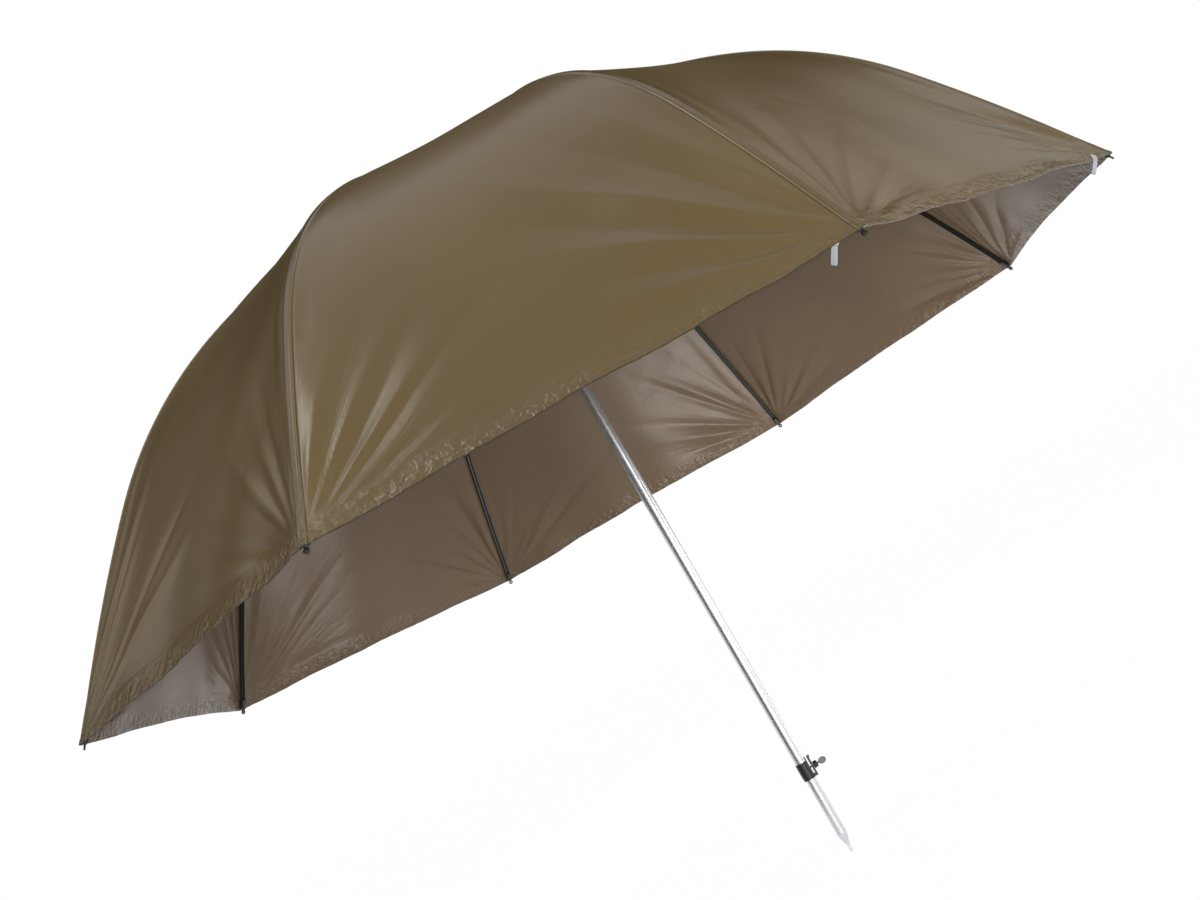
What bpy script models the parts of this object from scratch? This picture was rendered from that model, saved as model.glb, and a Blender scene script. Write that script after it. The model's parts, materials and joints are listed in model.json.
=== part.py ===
"""Fishing umbrella with a telescoping pole, hinged ribs and a folding canopy.

Metres, +Z up along the pole. The origin is the point of the ground spike, the clamp
screw points to +X and the front panel of the canopy faces -Y.
"""
import math

import bmesh
import bpy
from mathutils import Matrix, Vector

# Counts and angles
RIB_COUNT = 8
RIB_PITCH = math.radians(360 / RIB_COUNT)
FIRST_RIB = math.radians(-112.5)
HALF_GORE = RIB_PITCH / 2
ROUND_STEPS = 24
SMALL_STEPS = 12
FINE_STEPS = 8
ARC_STEPS = 6
CORNER_STEPS = 4
QUARTER = math.radians(90)
SMOOTH_ANGLE = math.radians(35)

# Gaps
SEAT_GAP = 0.0003
OVERRUN = 0.002
MERGE = 0.00001

# Pole tubes
POLE_RADIUS = 0.011
POLE_WALL = 0.0012
POLE_BORE = POLE_RADIUS - POLE_WALL
JOINT_Z = 0.3275
LAP_LENGTH = 0.020
LAP_RADIUS = (POLE_RADIUS + POLE_BORE) / 2
TUBE_RADIUS = POLE_BORE - SEAT_GAP
TUBE_WALL = 0.001
TUBE_BORE = TUBE_RADIUS - TUBE_WALL
TUBE_TOP_GAP = 0.190

# Ground spike
SPIKE_LENGTH = 0.0425
NEEDLE_LENGTH = 0.0147
NEEDLE_RADIUS = 0.0026
NEEDLE_POINT = 0.0010
SPIKE_LAND = 0.0025
SPIKE_PLUG = 0.030
BULGE_SHARE = 0.33
CONE_STEPS = 5

# Guide plug at the upper end of the inner tube
GUIDE_HEAD = 0.008
GUIDE_PLUG = 0.025
GUIDE_BORE = 0.004

# Clamp collar at the lower end of the pole
COLLAR_Z = 0.1550
FLANGE_HEIGHT = 0.0050
SLEEVE_HEIGHT = 0.0295
SLEEVE_WALL = 0.0015
SLEEVE_OPENING = math.radians(45)
FLANGE_LIP = 0.0006
TONGUE_GAP = 0.0026
TONGUE_THICKNESS = 0.0042
TONGUE_WIDTH = 0.0125
TONGUE_RISE = 0.0060
KNOB_REACH = 0.0020
KNOB_HEIGHT = 0.0040
SLEEVE_BORE = POLE_RADIUS + SEAT_GAP
SLEEVE_RADIUS = SLEEVE_BORE + SLEEVE_WALL
TONGUE_X = POLE_RADIUS + TONGUE_GAP
POLE_BOTTOM_Z = COLLAR_Z + FLANGE_HEIGHT + SEAT_GAP

# Clamp screw and its captive nut
SCREW_Z = 0.1740
SHANK_RADIUS = 0.0016
BOSS_LENGTH = 0.0085
BOSS_RADIUS = 0.00675
BOSS_CROWN = 0.0020
HEAD_NECK = 0.0022
HEAD_LENGTH = 0.0157
HEAD_HEIGHT = 0.0125
HEAD_THICKNESS = 0.0032
HEAD_RIM = 0.0016
HEAD_DISH = 0.0009
HEAD_BUTTON = 0.0018
HEAD_EDGE = HEAD_RIM / 3
BOSS_X = TONGUE_X + TONGUE_THICKNESS + SEAT_GAP
HEAD_X = BOSS_X + BOSS_LENGTH + HEAD_NECK

# Ribs, as an angle below the horizon at shares of the rib's length
CROWN_Z = 1.5343
PIVOT_RADIUS = 0.024
RIB_LENGTH = 1.3025
RIB_SLOPE_SHARES = ((0.0, 8.7), (0.30, 16.6), (0.45, 28.8), (0.70, 52.5), (1.0, 58.6))
RIB_WIDTH = 0.0078
RIB_HEIGHT = 0.0060
RIB_WALL = 0.0009
PATH_STEPS = 400

# Rib roots and the wire ring that they turn on
WIRE_RADIUS = 0.0010
EYE_WALL = 0.0010
EYE_BORE = 1.6 * WIRE_RADIUS
EYE_RADIUS = EYE_BORE + EYE_WALL
EYE_THICKNESS = 0.0044
TONGUE_REACH = 0.020
SLOT_SIDE = SEAT_GAP
SLOT_WIDTH = EYE_THICKNESS + 2 * SLOT_SIDE
WIRE_STEPS = 40
WIRE_SIDES = 6
EYE_ARC = (80, 280)

# Crown hub
HUB_LIP = 0.0050
HUB_RADIUS = PIVOT_RADIUS + HUB_LIP
HUB_ABOVE = 0.0018
HUB_BELOW = 0.0065
HUB_SKIRT_WALL = 0.0035
HUB_SKIRT = 0.024
HUB_CEILING = 0.0015
STEM_RADIUS = 0.0042
STEM_HEIGHT = 0.0150
CROWN_PIN_RADIUS = 0.0015
CROWN_PIN_DROP = 0.0160

# Washer and cap over the middle of the canopy
CLOTH = 0.0012
CLOTH_SEAT = RIB_HEIGHT / 2 + SEAT_GAP
WASHER_RADIUS = 0.0185
WASHER_THICKNESS = 0.0012
CAP_RADIUS = 0.0215
CAP_HEIGHT = 0.0150
CAP_WALL = 0.0022
CAP_STEPS = 5

# Rib brackets and their rivets
BRACKET_SPAN = 6
BRACKET_LENGTH = 0.015
BRACKET_WALL = 0.0012
BRACKET_CHEEK = 0.0042
PIN_DROP = 0.0095
PIN_RADIUS = 0.0012
PIN_HEAD = 0.0007
EAR_RADIUS = 0.0042
EAR_ARC = (200, 340)

# Stretchers
STRETCHER_RADIUS = 0.0026
STRETCHER_FLAT_SHARE = 0.8
STRETCHER_NECK = 0.013
STRETCHER_EYE = 0.0031
STRETCHER_STEPS = 10
STRETCHER_ARC = (60, 300)

# Runner
RUNNER_PIVOT = 0.0235
RUNNER_DROP = 0.2859
RUNNER_BORE = POLE_RADIUS + 2 * SEAT_GAP
RUNNER_SLEEVE = 0.0145
RUNNER_LENGTH = 0.085
RUNNER_LIP = 0.0045
RUNNER_ABOVE = 0.0060
RUNNER_BELOW = 0.0060
GRIP_RADIUS = 0.0185
GRIP_HEIGHT = 0.0060

# Leaf catch that holds the runner up
CATCH_WIDTH = 0.0040
CATCH_STRIP = 0.0009
CATCH_LENGTH = 0.075
CATCH_NOSE = 0.0035
CATCH_RAMP = 0.014
CATCH_TIP = 0.006

# Rib tips with eyelets
TIP_RADIUS = 0.00585
TIP_NECK_SHARE = 0.9
TIP_WALL = 0.0010
TIP_FLAT = RIB_HEIGHT / 2 + SEAT_GAP + TIP_WALL
TIP_COVER = 0.020
TIP_NOSE = 0.0045
TIP_BACK = 0.0070
EYELET_RADIUS = 0.0048
EYELET_HOLE = 0.0025
EYELET_THICKNESS = 0.0030

# Canopy leaves, one on each rib, out to the middle of the gore on both sides
LEAF_ALONG = 20
LEAF_HALF = 3
LEAF_EASE = 0.0008
LEAF_RIDGE_SHARE = 0.3
LEAF_START = 0.007
LEAF_COLLAR = 0.012
LEAF_SPLIT = 0.0004
LEAF_SAG_SHARE = 0.0146
HEM_SET = 0.0027
HEM_LIFT = 0.0024
HEM_SCALLOP = 0.0139
HEM_FOLD = 0.0035
HEM_FOLD_COUNT = 2
HEM_FOLD_POWER = 6

# Guy loops sewn to the hem
LOOP_BAND = 0.0010
LOOP_WIDTH = 0.0076
LOOP_LENGTH = 0.026
LOOP_GAP = 0.0044
LOOP_STEPS = 5
TAB_LENGTH = 0.017
TAB_WIDTH = 0.0096
TAB_THICKNESS = 0.0012
TAB_OVERHANG = 0.0082
LOOP_ROOT = 0.0006
LOOP_TURN = math.radians(60)
LOOP_DROOP = math.radians(50)
LOOP_1_INSET = 0.036
LOOP_2_INSET = 0.055

COLLECTION = bpy.data.collections.new("fishing_umbrella")
CUTTERS = bpy.data.collections.new("cutters")


def clear_scene():
    """Remove every object, then add the two collections."""
    for item in list(bpy.data.objects):
        bpy.data.objects.remove(item, do_unlink=True)
    bpy.context.scene.collection.children.link(COLLECTION)
    bpy.context.scene.collection.children.link(CUTTERS)


def material(name, colour, roughness, metallic):
    """Return a plain surface with the piece's colour."""
    surface = bpy.data.materials.new(name)
    surface.use_nodes = True
    shader = surface.node_tree.nodes["Principled BSDF"]
    shader.inputs["Base Color"].default_value = (*colour, 1.0)
    shader.inputs["Roughness"].default_value = roughness
    shader.inputs["Metallic"].default_value = metallic
    return surface


def link(item, collection=COLLECTION):
    """Put an object in one collection."""
    collection.objects.link(item)
    return item


def baked(item, name):
    """Turn an object into a mesh object in world space, with its caps welded."""
    bpy.context.view_layer.update()
    graph = bpy.context.evaluated_depsgraph_get()
    mesh = bpy.data.meshes.new_from_object(item.evaluated_get(graph))
    mesh.transform(item.matrix_world)
    mesh.name = name
    work = bmesh.new()
    work.from_mesh(mesh)
    bmesh.ops.remove_doubles(work, verts=work.verts, dist=MERGE)
    bmesh.ops.recalc_face_normals(work, faces=work.faces)
    work.to_mesh(mesh)
    work.free()
    bpy.data.objects.remove(item, do_unlink=True)
    return link(bpy.data.objects.new(name, mesh), CUTTERS)


def combined(base, tool, operation):
    """Join, cut or cross two mesh objects and bake the result."""
    step = base.modifiers.new(operation.lower(), "BOOLEAN")
    step.operation = operation
    step.solver = "EXACT"
    step.object = tool
    name = base.name
    base.name = name + "_before"
    result = baked(base, name)
    bpy.data.objects.remove(tool, do_unlink=True)
    return result


def turned(name, profile, steps=ROUND_STEPS, ring=False):
    """Revolve a profile of (radius, height) points, listed down its outer side."""
    mesh = bpy.data.meshes.new(name)
    edges = [(i, i + 1) for i in range(len(profile) - 1)]
    if ring:
        edges.append((len(profile) - 1, 0))
    mesh.from_pydata([(r, 0, z) for r, z in profile], edges, [])
    item = link(bpy.data.objects.new(name, mesh), CUTTERS)
    screw = item.modifiers.new("turn", "SCREW")
    screw.axis = "Z"
    screw.steps = steps
    screw.render_steps = steps
    screw.use_merge_vertices = True
    screw.merge_threshold = MERGE
    return baked(item, name)


def plate(name, outlines, thickness):
    """Extrude flat outlines of (x, z) points to both sides of the XZ plane."""
    curve = bpy.data.curves.new(name, "CURVE")
    curve.dimensions = "2D"
    curve.fill_mode = "BOTH"
    curve.extrude = thickness / 2
    for outline in outlines:
        spline = curve.splines.new("POLY")
        spline.points.add(len(outline) - 1)
        spline.use_cyclic_u = True
        for point, (x, z) in zip(spline.points, outline):
            point.co = (x, z, 0, 1)
    item = link(bpy.data.objects.new(name, curve), CUTTERS)
    item.rotation_euler.x = QUARTER
    return baked(item, name)


def rod(name, radius, start, end, steps=SMALL_STEPS):
    """Make a closed cylinder from one point to another."""
    start = Vector(start)
    run = Vector(end) - start
    work = bmesh.new()
    sizes = {"radius1": radius, "radius2": radius, "depth": run.length}
    bmesh.ops.create_cone(work, cap_ends=True, segments=steps, **sizes)
    mesh = bpy.data.meshes.new(name)
    turn = run.to_track_quat("Z", "Y").to_matrix().to_4x4()
    bmesh.ops.transform(work, matrix=Matrix.Translation(start + run / 2) @ turn, verts=work.verts)
    work.to_mesh(mesh)
    work.free()
    return link(bpy.data.objects.new(name, mesh), CUTTERS)


def block(name, low, high):
    """Make a closed box from its lowest and highest corners."""
    work = bmesh.new()
    bmesh.ops.create_cube(work, size=1.0)
    low = Vector(low)
    size = Vector(high) - low
    for vert in work.verts:
        vert.co = low + Vector([(c + 1 / 2) * s for c, s in zip(vert.co, size)])
    mesh = bpy.data.meshes.new(name)
    work.to_mesh(mesh)
    work.free()
    return link(bpy.data.objects.new(name, mesh), CUTTERS)


def circle(radius, steps, centre=(0, 0)):
    """Return the points of a circle in a plate's plane."""
    turns = [2 * math.pi * i / steps for i in range(steps)]
    return [(centre[0] + radius * math.cos(a), centre[1] + radius * math.sin(a)) for a in turns]


def arc(radius, first, last, steps, centre=(0, 0)):
    """Return the points of an arc, with angles in degrees."""
    turns = [math.radians(first + (last - first) * i / steps) for i in range(steps + 1)]
    return [(centre[0] + radius * math.cos(a), centre[1] + radius * math.sin(a)) for a in turns]


def moved(item, matrix):
    """Move a scratch solid inside its own mesh."""
    item.data.transform(matrix)
    return item


def place(source, name, surface, matrix=None, parent=None):
    """Hand a finished mesh over to a named part of the umbrella."""
    part = bpy.data.objects.new(name, source.data)
    link(part)
    part.data.materials.clear()
    part.data.materials.append(surface)
    part.data.shade_smooth()
    part.data.set_sharp_from_angle(angle=SMOOTH_ANGLE)
    if parent is not None:
        part.parent = parent
    if matrix is not None:
        part.matrix_local = matrix
    return part


def finish(source, name, surface, matrix=None):
    """Place a mesh once and drop its scratch object."""
    source.name = name + "_source"
    part = place(source, name, surface, matrix)
    bpy.data.objects.remove(source, do_unlink=True)
    return part


def slope_at(share):
    """Return the rib's angle below the horizon at a share of its length."""
    for (low, first), (high, last) in zip(RIB_SLOPE_SHARES, RIB_SLOPE_SHARES[1:]):
        if share <= high:
            return math.radians(first + (last - first) * (share - low) / (high - low))
    return math.radians(RIB_SLOPE_SHARES[-1][1])


def rib_line():
    """Return the rib's centre line as (length, reach, height, slope) rows from its pivot."""
    step = RIB_LENGTH / PATH_STEPS
    rows = [(0.0, 0.0, 0.0, slope_at(0.0))]
    for i in range(PATH_STEPS):
        length, x, z, _ = rows[-1]
        middle = slope_at((i + 1 / 2) / PATH_STEPS)
        rows.append((length + step, x + step * math.cos(middle), z - step * math.sin(middle),
                     slope_at((i + 1) / PATH_STEPS)))
    return rows


RIB_LINE = rib_line()


def on_rib(length):
    """Return reach, height and slope on the rib's centre line at a length from the pivot."""
    spot = min(max(length / RIB_LENGTH, 0.0), 1.0) * PATH_STEPS
    i = min(int(spot), PATH_STEPS - 1)
    part = spot - i
    first = RIB_LINE[i]
    last = RIB_LINE[i + 1]
    return tuple(a + (b - a) * part for a, b in zip(first[1:], last[1:]))


def rib_frame(length, rise=0.0):
    """Return a matrix on the rib: X along it, Y across it and Z away from the pole."""
    x, z, slope = on_rib(length)
    turn = Matrix.Rotation(slope, 4, "Y")
    return Matrix.Translation((x, 0, z)) @ turn @ Matrix.Translation((0, 0, rise))


def rib_mount(index):
    """Return the matrix of a rib's pivot, with X pointing away from the pole."""
    azimuth = FIRST_RIB + RIB_PITCH * index
    return Matrix.Rotation(azimuth, 4, "Z") @ Matrix.Translation((PIVOT_RADIUS, 0, CROWN_Z))


def make_spike(surface):
    """Model the turned ground spike with its plug in the inner tube."""
    rows = [(0, SPIKE_LENGTH + SPIKE_PLUG)]
    rows.append((TUBE_BORE - SEAT_GAP, SPIKE_LENGTH + SPIKE_PLUG))
    rows.append((TUBE_BORE - SEAT_GAP, SPIKE_LENGTH))
    rows.append((TUBE_RADIUS, SPIKE_LENGTH))
    cone_top = SPIKE_LENGTH - SPIKE_LAND
    for i in range(CONE_STEPS + 1):
        share = i / CONE_STEPS
        bulge = math.sin(math.pi * share) * NEEDLE_RADIUS * BULGE_SHARE
        radius = TUBE_RADIUS + (NEEDLE_RADIUS - TUBE_RADIUS) * share + bulge
        rows.append((radius, cone_top + (NEEDLE_LENGTH - cone_top) * share))
    rows.append((NEEDLE_RADIUS, NEEDLE_POINT * 2))
    rows.append((NEEDLE_POINT, 0))
    rows.append((0, 0))
    finish(turned("spike_point", rows), "spike_point", surface)


def make_inner_tube(surface, plastic):
    """Model the sliding inner tube and the guide plug in its upper end."""
    foot = SPIKE_LENGTH + SEAT_GAP
    top = tube_top()
    rows = [(TUBE_RADIUS, top), (TUBE_RADIUS, foot), (TUBE_BORE, foot), (TUBE_BORE, top)]
    finish(turned("inner_tube", rows, ring=True), "inner_tube", surface)
    seat = top + SEAT_GAP
    fit = TUBE_BORE - SEAT_GAP
    rows = [(TUBE_RADIUS, seat + GUIDE_HEAD), (TUBE_RADIUS, seat), (fit, seat), (fit, seat - GUIDE_PLUG)]
    rows += [(GUIDE_BORE, seat - GUIDE_PLUG), (GUIDE_BORE, seat + GUIDE_HEAD)]
    finish(turned("tube_guide", rows, ring=True), "tube_guide", plastic)


def make_pole(surface):
    """Model the two outer tubes with their half lap joint, the screw hole and the catch window."""
    lap_top = JOINT_Z + LAP_LENGTH
    inside = LAP_RADIUS - SEAT_GAP / 2
    rows = [(inside, lap_top), (inside, JOINT_Z), (POLE_RADIUS, JOINT_Z)]
    rows += [(POLE_RADIUS, POLE_BOTTOM_Z), (POLE_BORE, POLE_BOTTOM_Z), (POLE_BORE, lap_top)]
    lower = turned("pole_lower", rows, ring=True)
    ends = (0, 0, SCREW_Z), (POLE_RADIUS + OVERRUN, 0, SCREW_Z)
    hole = rod("hole", SHANK_RADIUS + SEAT_GAP, *ends, FINE_STEPS)
    finish(combined(lower, hole, "DIFFERENCE"), "pole_lower", surface)
    foot = JOINT_Z + SEAT_GAP
    top = CROWN_Z - HUB_CEILING - SEAT_GAP
    lap = lap_top + SEAT_GAP
    outside = LAP_RADIUS + SEAT_GAP / 2
    rows = [(POLE_RADIUS, top), (POLE_RADIUS, foot), (outside, foot)]
    rows += [(outside, lap), (POLE_BORE, lap), (POLE_BORE, top)]
    upper = turned("pole_upper", rows, ring=True)
    half = CATCH_WIDTH / 2 + SEAT_GAP
    face = runner_foot()
    low = face - CATCH_RAMP - CATCH_TIP
    window = block("window", (0, -half, low), (POLE_RADIUS + OVERRUN, half, face + OVERRUN))
    upper = combined(upper, window, "DIFFERENCE")
    pin = crown_pin_ends(SEAT_GAP)
    hole = rod("hole", CROWN_PIN_RADIUS + SEAT_GAP, pin[0], pin[1], FINE_STEPS)
    finish(combined(upper, hole, "DIFFERENCE"), "pole_upper", surface)


def crown_pin_ends(extra):
    """Return the ends of the cross pin that holds the hub on the pole."""
    reach = POLE_RADIUS + SEAT_GAP + HUB_SKIRT_WALL + extra
    height = CROWN_Z - CROWN_PIN_DROP
    return (0, -reach, height), (0, reach, height)


def make_collar(surface):
    """Model the moulded clamp collar: an open sleeve, its flange and the sprung tongue."""
    low = COLLAR_Z
    flange = COLLAR_Z + FLANGE_HEIGHT
    top = COLLAR_Z + FLANGE_HEIGHT + SLEEVE_HEIGHT
    rim = SLEEVE_RADIUS - FLANGE_LIP
    bore = TUBE_RADIUS + SEAT_GAP
    rows = [(SLEEVE_RADIUS, top), (SLEEVE_RADIUS, flange), (rim, flange - FLANGE_LIP), (rim, low)]
    rows += [(bore, low), (bore, flange), (SLEEVE_BORE, flange), (SLEEVE_BORE, top)]
    sleeve = turned("clamp_collar", rows, ring=True)
    far = SLEEVE_RADIUS + OVERRUN
    mouth = [(0, 0), (far, -far * math.tan(SLEEVE_OPENING)), (far, far * math.tan(SLEEVE_OPENING))]
    wedge = plate("mouth", [mouth], SLEEVE_HEIGHT * 2)
    moved(wedge, Matrix.Rotation(QUARTER, 4, "X"))
    moved(wedge, Matrix.Translation((0, 0, flange + SLEEVE_HEIGHT + FLANGE_LIP)))
    sleeve = combined(sleeve, wedge, "DIFFERENCE")
    back = TONGUE_X + TONGUE_THICKNESS
    peak = top + TONGUE_RISE
    foot = low + FLANGE_LIP / 2
    ledge = flange - FLANGE_LIP / 2
    outline = [(rim - OVERRUN, foot), (back - FLANGE_LIP, foot), (back, foot + FLANGE_LIP)]
    knob = back + KNOB_REACH
    base = peak - KNOB_HEIGHT
    outline += [(back, base), (knob, base + KNOB_REACH), (knob, peak - FLANGE_LIP)]
    outline += [(back, peak), (TONGUE_X + FLANGE_LIP, peak), (TONGUE_X, peak - FLANGE_LIP)]
    bend = TONGUE_GAP / 2
    outline += arc(bend, 0, -90, CORNER_STEPS, (TONGUE_X - bend, ledge + bend))
    outline += [(rim - OVERRUN, ledge)]
    collar = combined(sleeve, plate("tongue", [outline], TONGUE_WIDTH), "UNION")
    start = (TONGUE_X - OVERRUN, 0, SCREW_Z)
    hole = rod("hole", SHANK_RADIUS + SEAT_GAP, start, (back + OVERRUN, 0, SCREW_Z), FINE_STEPS)
    finish(combined(collar, hole, "DIFFERENCE"), "clamp_collar", surface)


def along_x(x, z):
    """Return the matrix that lays a part turned about Z along +X."""
    return Matrix.Translation((x, 0, z)) @ Matrix.Rotation(QUARTER, 4, "Y")


def make_screw(nut_surface, steel):
    """Model the captive nut and the thumb screw with its dished oval head."""
    bore = SHANK_RADIUS + SEAT_GAP
    crown = BOSS_RADIUS - BOSS_CROWN
    rows = [(crown, BOSS_LENGTH), (BOSS_RADIUS, BOSS_LENGTH - BOSS_CROWN), (BOSS_RADIUS, BOSS_CROWN / 4)]
    rows += [(BOSS_RADIUS - BOSS_CROWN / 4, 0), (bore, 0), (bore, BOSS_LENGTH)]
    nut = turned("clamp_nut", rows, SMALL_STEPS, ring=True)
    finish(nut, "clamp_nut", nut_surface, along_x(BOSS_X, SCREW_Z))
    centre = HEAD_X + HEAD_LENGTH / 2
    face = HEAD_THICKNESS / 2
    web = face - HEAD_DISH
    rows = [(0, face), (HEAD_BUTTON, face), (HEAD_BUTTON, web), (HEAD_LENGTH / 2 - HEAD_RIM, web)]
    rows += [(HEAD_LENGTH / 2 - HEAD_RIM, face), (HEAD_LENGTH / 2 - HEAD_EDGE, face)]
    rows += [(HEAD_LENGTH / 2, face - HEAD_EDGE)]
    rows += [(r, -z) for r, z in reversed(rows)]
    head = turned("thumb_screw", rows, ROUND_STEPS)
    squash = Matrix.Diagonal((1, HEAD_HEIGHT / HEAD_LENGTH, 1, 1))
    moved(head, Matrix.Translation((centre, 0, 0)) @ Matrix.Rotation(QUARTER, 4, "X") @ squash)
    shank = rod("shank", SHANK_RADIUS, (POLE_BORE, 0, 0), (HEAD_X + HEAD_RIM, 0, 0), FINE_STEPS)
    finish(combined(head, shank, "UNION"), "thumb_screw", steel, Matrix.Translation((0, 0, SCREW_Z)))


def make_crown(aluminium, plastic, steel):
    """Model the slotted hub, its wire ring and cross pin, and the washer and cap above the cloth."""
    top = CROWN_Z + HUB_ABOVE
    low = CROWN_Z - HUB_BELOW
    groove = WIRE_RADIUS + SEAT_GAP
    skirt = POLE_RADIUS + SEAT_GAP + HUB_SKIRT_WALL
    rows = [(0, top + STEM_HEIGHT), (STEM_RADIUS, top + STEM_HEIGHT), (STEM_RADIUS, top), (HUB_RADIUS, top)]
    rows += [(HUB_RADIUS, CROWN_Z + groove), (PIVOT_RADIUS - groove, CROWN_Z + groove)]
    rows += [(PIVOT_RADIUS - groove, CROWN_Z - groove), (HUB_RADIUS, CROWN_Z - groove), (HUB_RADIUS, low)]
    rows += [(skirt, low), (skirt, CROWN_Z - HUB_SKIRT), (POLE_RADIUS + SEAT_GAP, CROWN_Z - HUB_SKIRT)]
    rows += [(POLE_RADIUS + SEAT_GAP, CROWN_Z - HUB_CEILING), (0, CROWN_Z - HUB_CEILING)]
    hub = turned("crown_hub", rows)
    inner = PIVOT_RADIUS - EYE_RADIUS - SEAT_GAP
    hub = slotted(hub, inner, HUB_RADIUS, low, top)
    ends = crown_pin_ends(OVERRUN)
    hub = combined(hub, rod("hole", CROWN_PIN_RADIUS + SEAT_GAP, ends[0], ends[1], FINE_STEPS), "DIFFERENCE")
    finish(hub, "crown_hub", aluminium)
    ends = crown_pin_ends(0)
    finish(rod("crown_pin", CROWN_PIN_RADIUS, ends[0], ends[1], FINE_STEPS), "crown_pin", steel)
    steps = {"major_segments": WIRE_STEPS, "minor_segments": WIRE_SIDES}
    sizes = {"major_radius": PIVOT_RADIUS, "minor_radius": WIRE_RADIUS}
    bpy.ops.mesh.primitive_torus_add(location=(0, 0, CROWN_Z), **steps, **sizes)
    ring = baked(bpy.context.object, "rib_wire")
    finish(ring, "rib_wire", steel)
    seat = CROWN_Z + CLOTH_SEAT + CLOTH + SEAT_GAP
    hole = STEM_RADIUS + SEAT_GAP
    rows = [(WASHER_RADIUS, seat + WASHER_THICKNESS), (WASHER_RADIUS, seat), (hole, seat)]
    rows += [(hole, seat + WASHER_THICKNESS)]
    finish(turned("crown_washer", rows, ring=True), "crown_washer", steel)
    base = seat + WASHER_THICKNESS + SEAT_GAP
    rows = dome(CAP_RADIUS, CAP_HEIGHT, base)
    inner_rows = dome(CAP_RADIUS - CAP_WALL, CAP_HEIGHT - CAP_WALL, base)
    inner_rows = [row for row in reversed(inner_rows) if row[0] > hole + CAP_WALL]
    ceiling = inner_rows[-1][1]
    rows += inner_rows
    rows += [(hole + CAP_WALL, ceiling), (hole + CAP_WALL, base), (hole, base)]
    rows += [(hole, top + STEM_HEIGHT + SEAT_GAP), (0, top + STEM_HEIGHT + SEAT_GAP)]
    finish(turned("crown_cap", rows), "crown_cap", plastic)


def dome(radius, height, base):
    """Return a low dome's profile from its middle to its foot."""
    rows = []
    for i in range(CAP_STEPS + 1):
        turn = QUARTER * i / CAP_STEPS
        rows.append((radius * math.sin(turn), base + height * math.cos(turn)))
    return rows


def slotted(item, inner, outer, low, high):
    """Cut one radial slot for each rib through a hub or a runner."""
    half = SLOT_WIDTH / 2
    for index in range(RIB_COUNT):
        slot = block("slot", (inner, -half, low - OVERRUN), (outer + OVERRUN, half, high + OVERRUN))
        moved(slot, Matrix.Rotation(FIRST_RIB + RIB_PITCH * index, 4, "Z"))
        item = combined(item, slot, "DIFFERENCE")
    return item


def hem_length(across):
    """Return the length from the pivot to the scalloped hem."""
    return leaf_end() - HEM_SCALLOP * math.sin(math.pi / 2 * abs(across))


def leaf_end():
    """Return the length along the rib where the cloth ends above it."""
    return RIB_LENGTH - HEM_SET


def rib_stations(end):
    """Return the lengths that ribs and leaves share, so that they stay parallel."""
    spans = LEAF_ALONG - 2
    return [LEAF_COLLAR + (end - LEAF_COLLAR) * i / spans for i in range(spans + 1)]


def channel():
    """Sweep the rib's open channel along the centre line."""
    half = RIB_WIDTH / 2
    inside = half - RIB_WALL
    rise = RIB_HEIGHT / 2
    outline = [(-half, -rise), (-inside, -rise), (-inside, rise - RIB_WALL), (inside, rise - RIB_WALL)]
    outline += [(inside, -rise), (half, -rise), (half, rise), (-half, rise)]
    section = bpy.data.curves.new("section", "CURVE")
    section.dimensions = "2D"
    spline = section.splines.new("POLY")
    spline.points.add(len(outline) - 1)
    spline.use_cyclic_u = True
    for point, (x, y) in zip(spline.points, outline):
        point.co = (x, y, 0, 1)
    guide = link(bpy.data.objects.new("section", section), CUTTERS)
    path = bpy.data.curves.new("rib_channel", "CURVE")
    path.dimensions = "3D"
    path.twist_mode = "Z_UP"
    path.bevel_mode = "OBJECT"
    path.bevel_object = guide
    path.use_fill_caps = True
    line = path.splines.new("POLY")
    end = RIB_LENGTH - TIP_BACK
    spots = rib_stations(leaf_end())[:-1] + [end - TIP_COVER, end]
    line.points.add(len(spots) - 1)
    for length, point in zip(spots, line.points):
        x, z, _ = on_rib(length)
        point.co = (x, 0, z, 1)
    swept = baked(link(bpy.data.objects.new("rib_channel", path), CUTTERS), "rib_channel")
    bpy.data.objects.remove(guide, do_unlink=True)
    return swept


def make_rib():
    """Model one rib: a fluted channel with a flat root that turns on the wire ring."""
    swept = channel()
    tail = TONGUE_REACH
    drop = on_rib(tail)[1]
    outline = arc(EYE_RADIUS, *EYE_ARC, ARC_STEPS)
    outline += [(tail, drop - EYE_RADIUS + EYE_WALL), (tail, drop + EYE_RADIUS)]
    root = plate("root", [outline, circle(EYE_BORE, FINE_STEPS)], EYE_THICKNESS)
    return combined(swept, root, "UNION")


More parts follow.
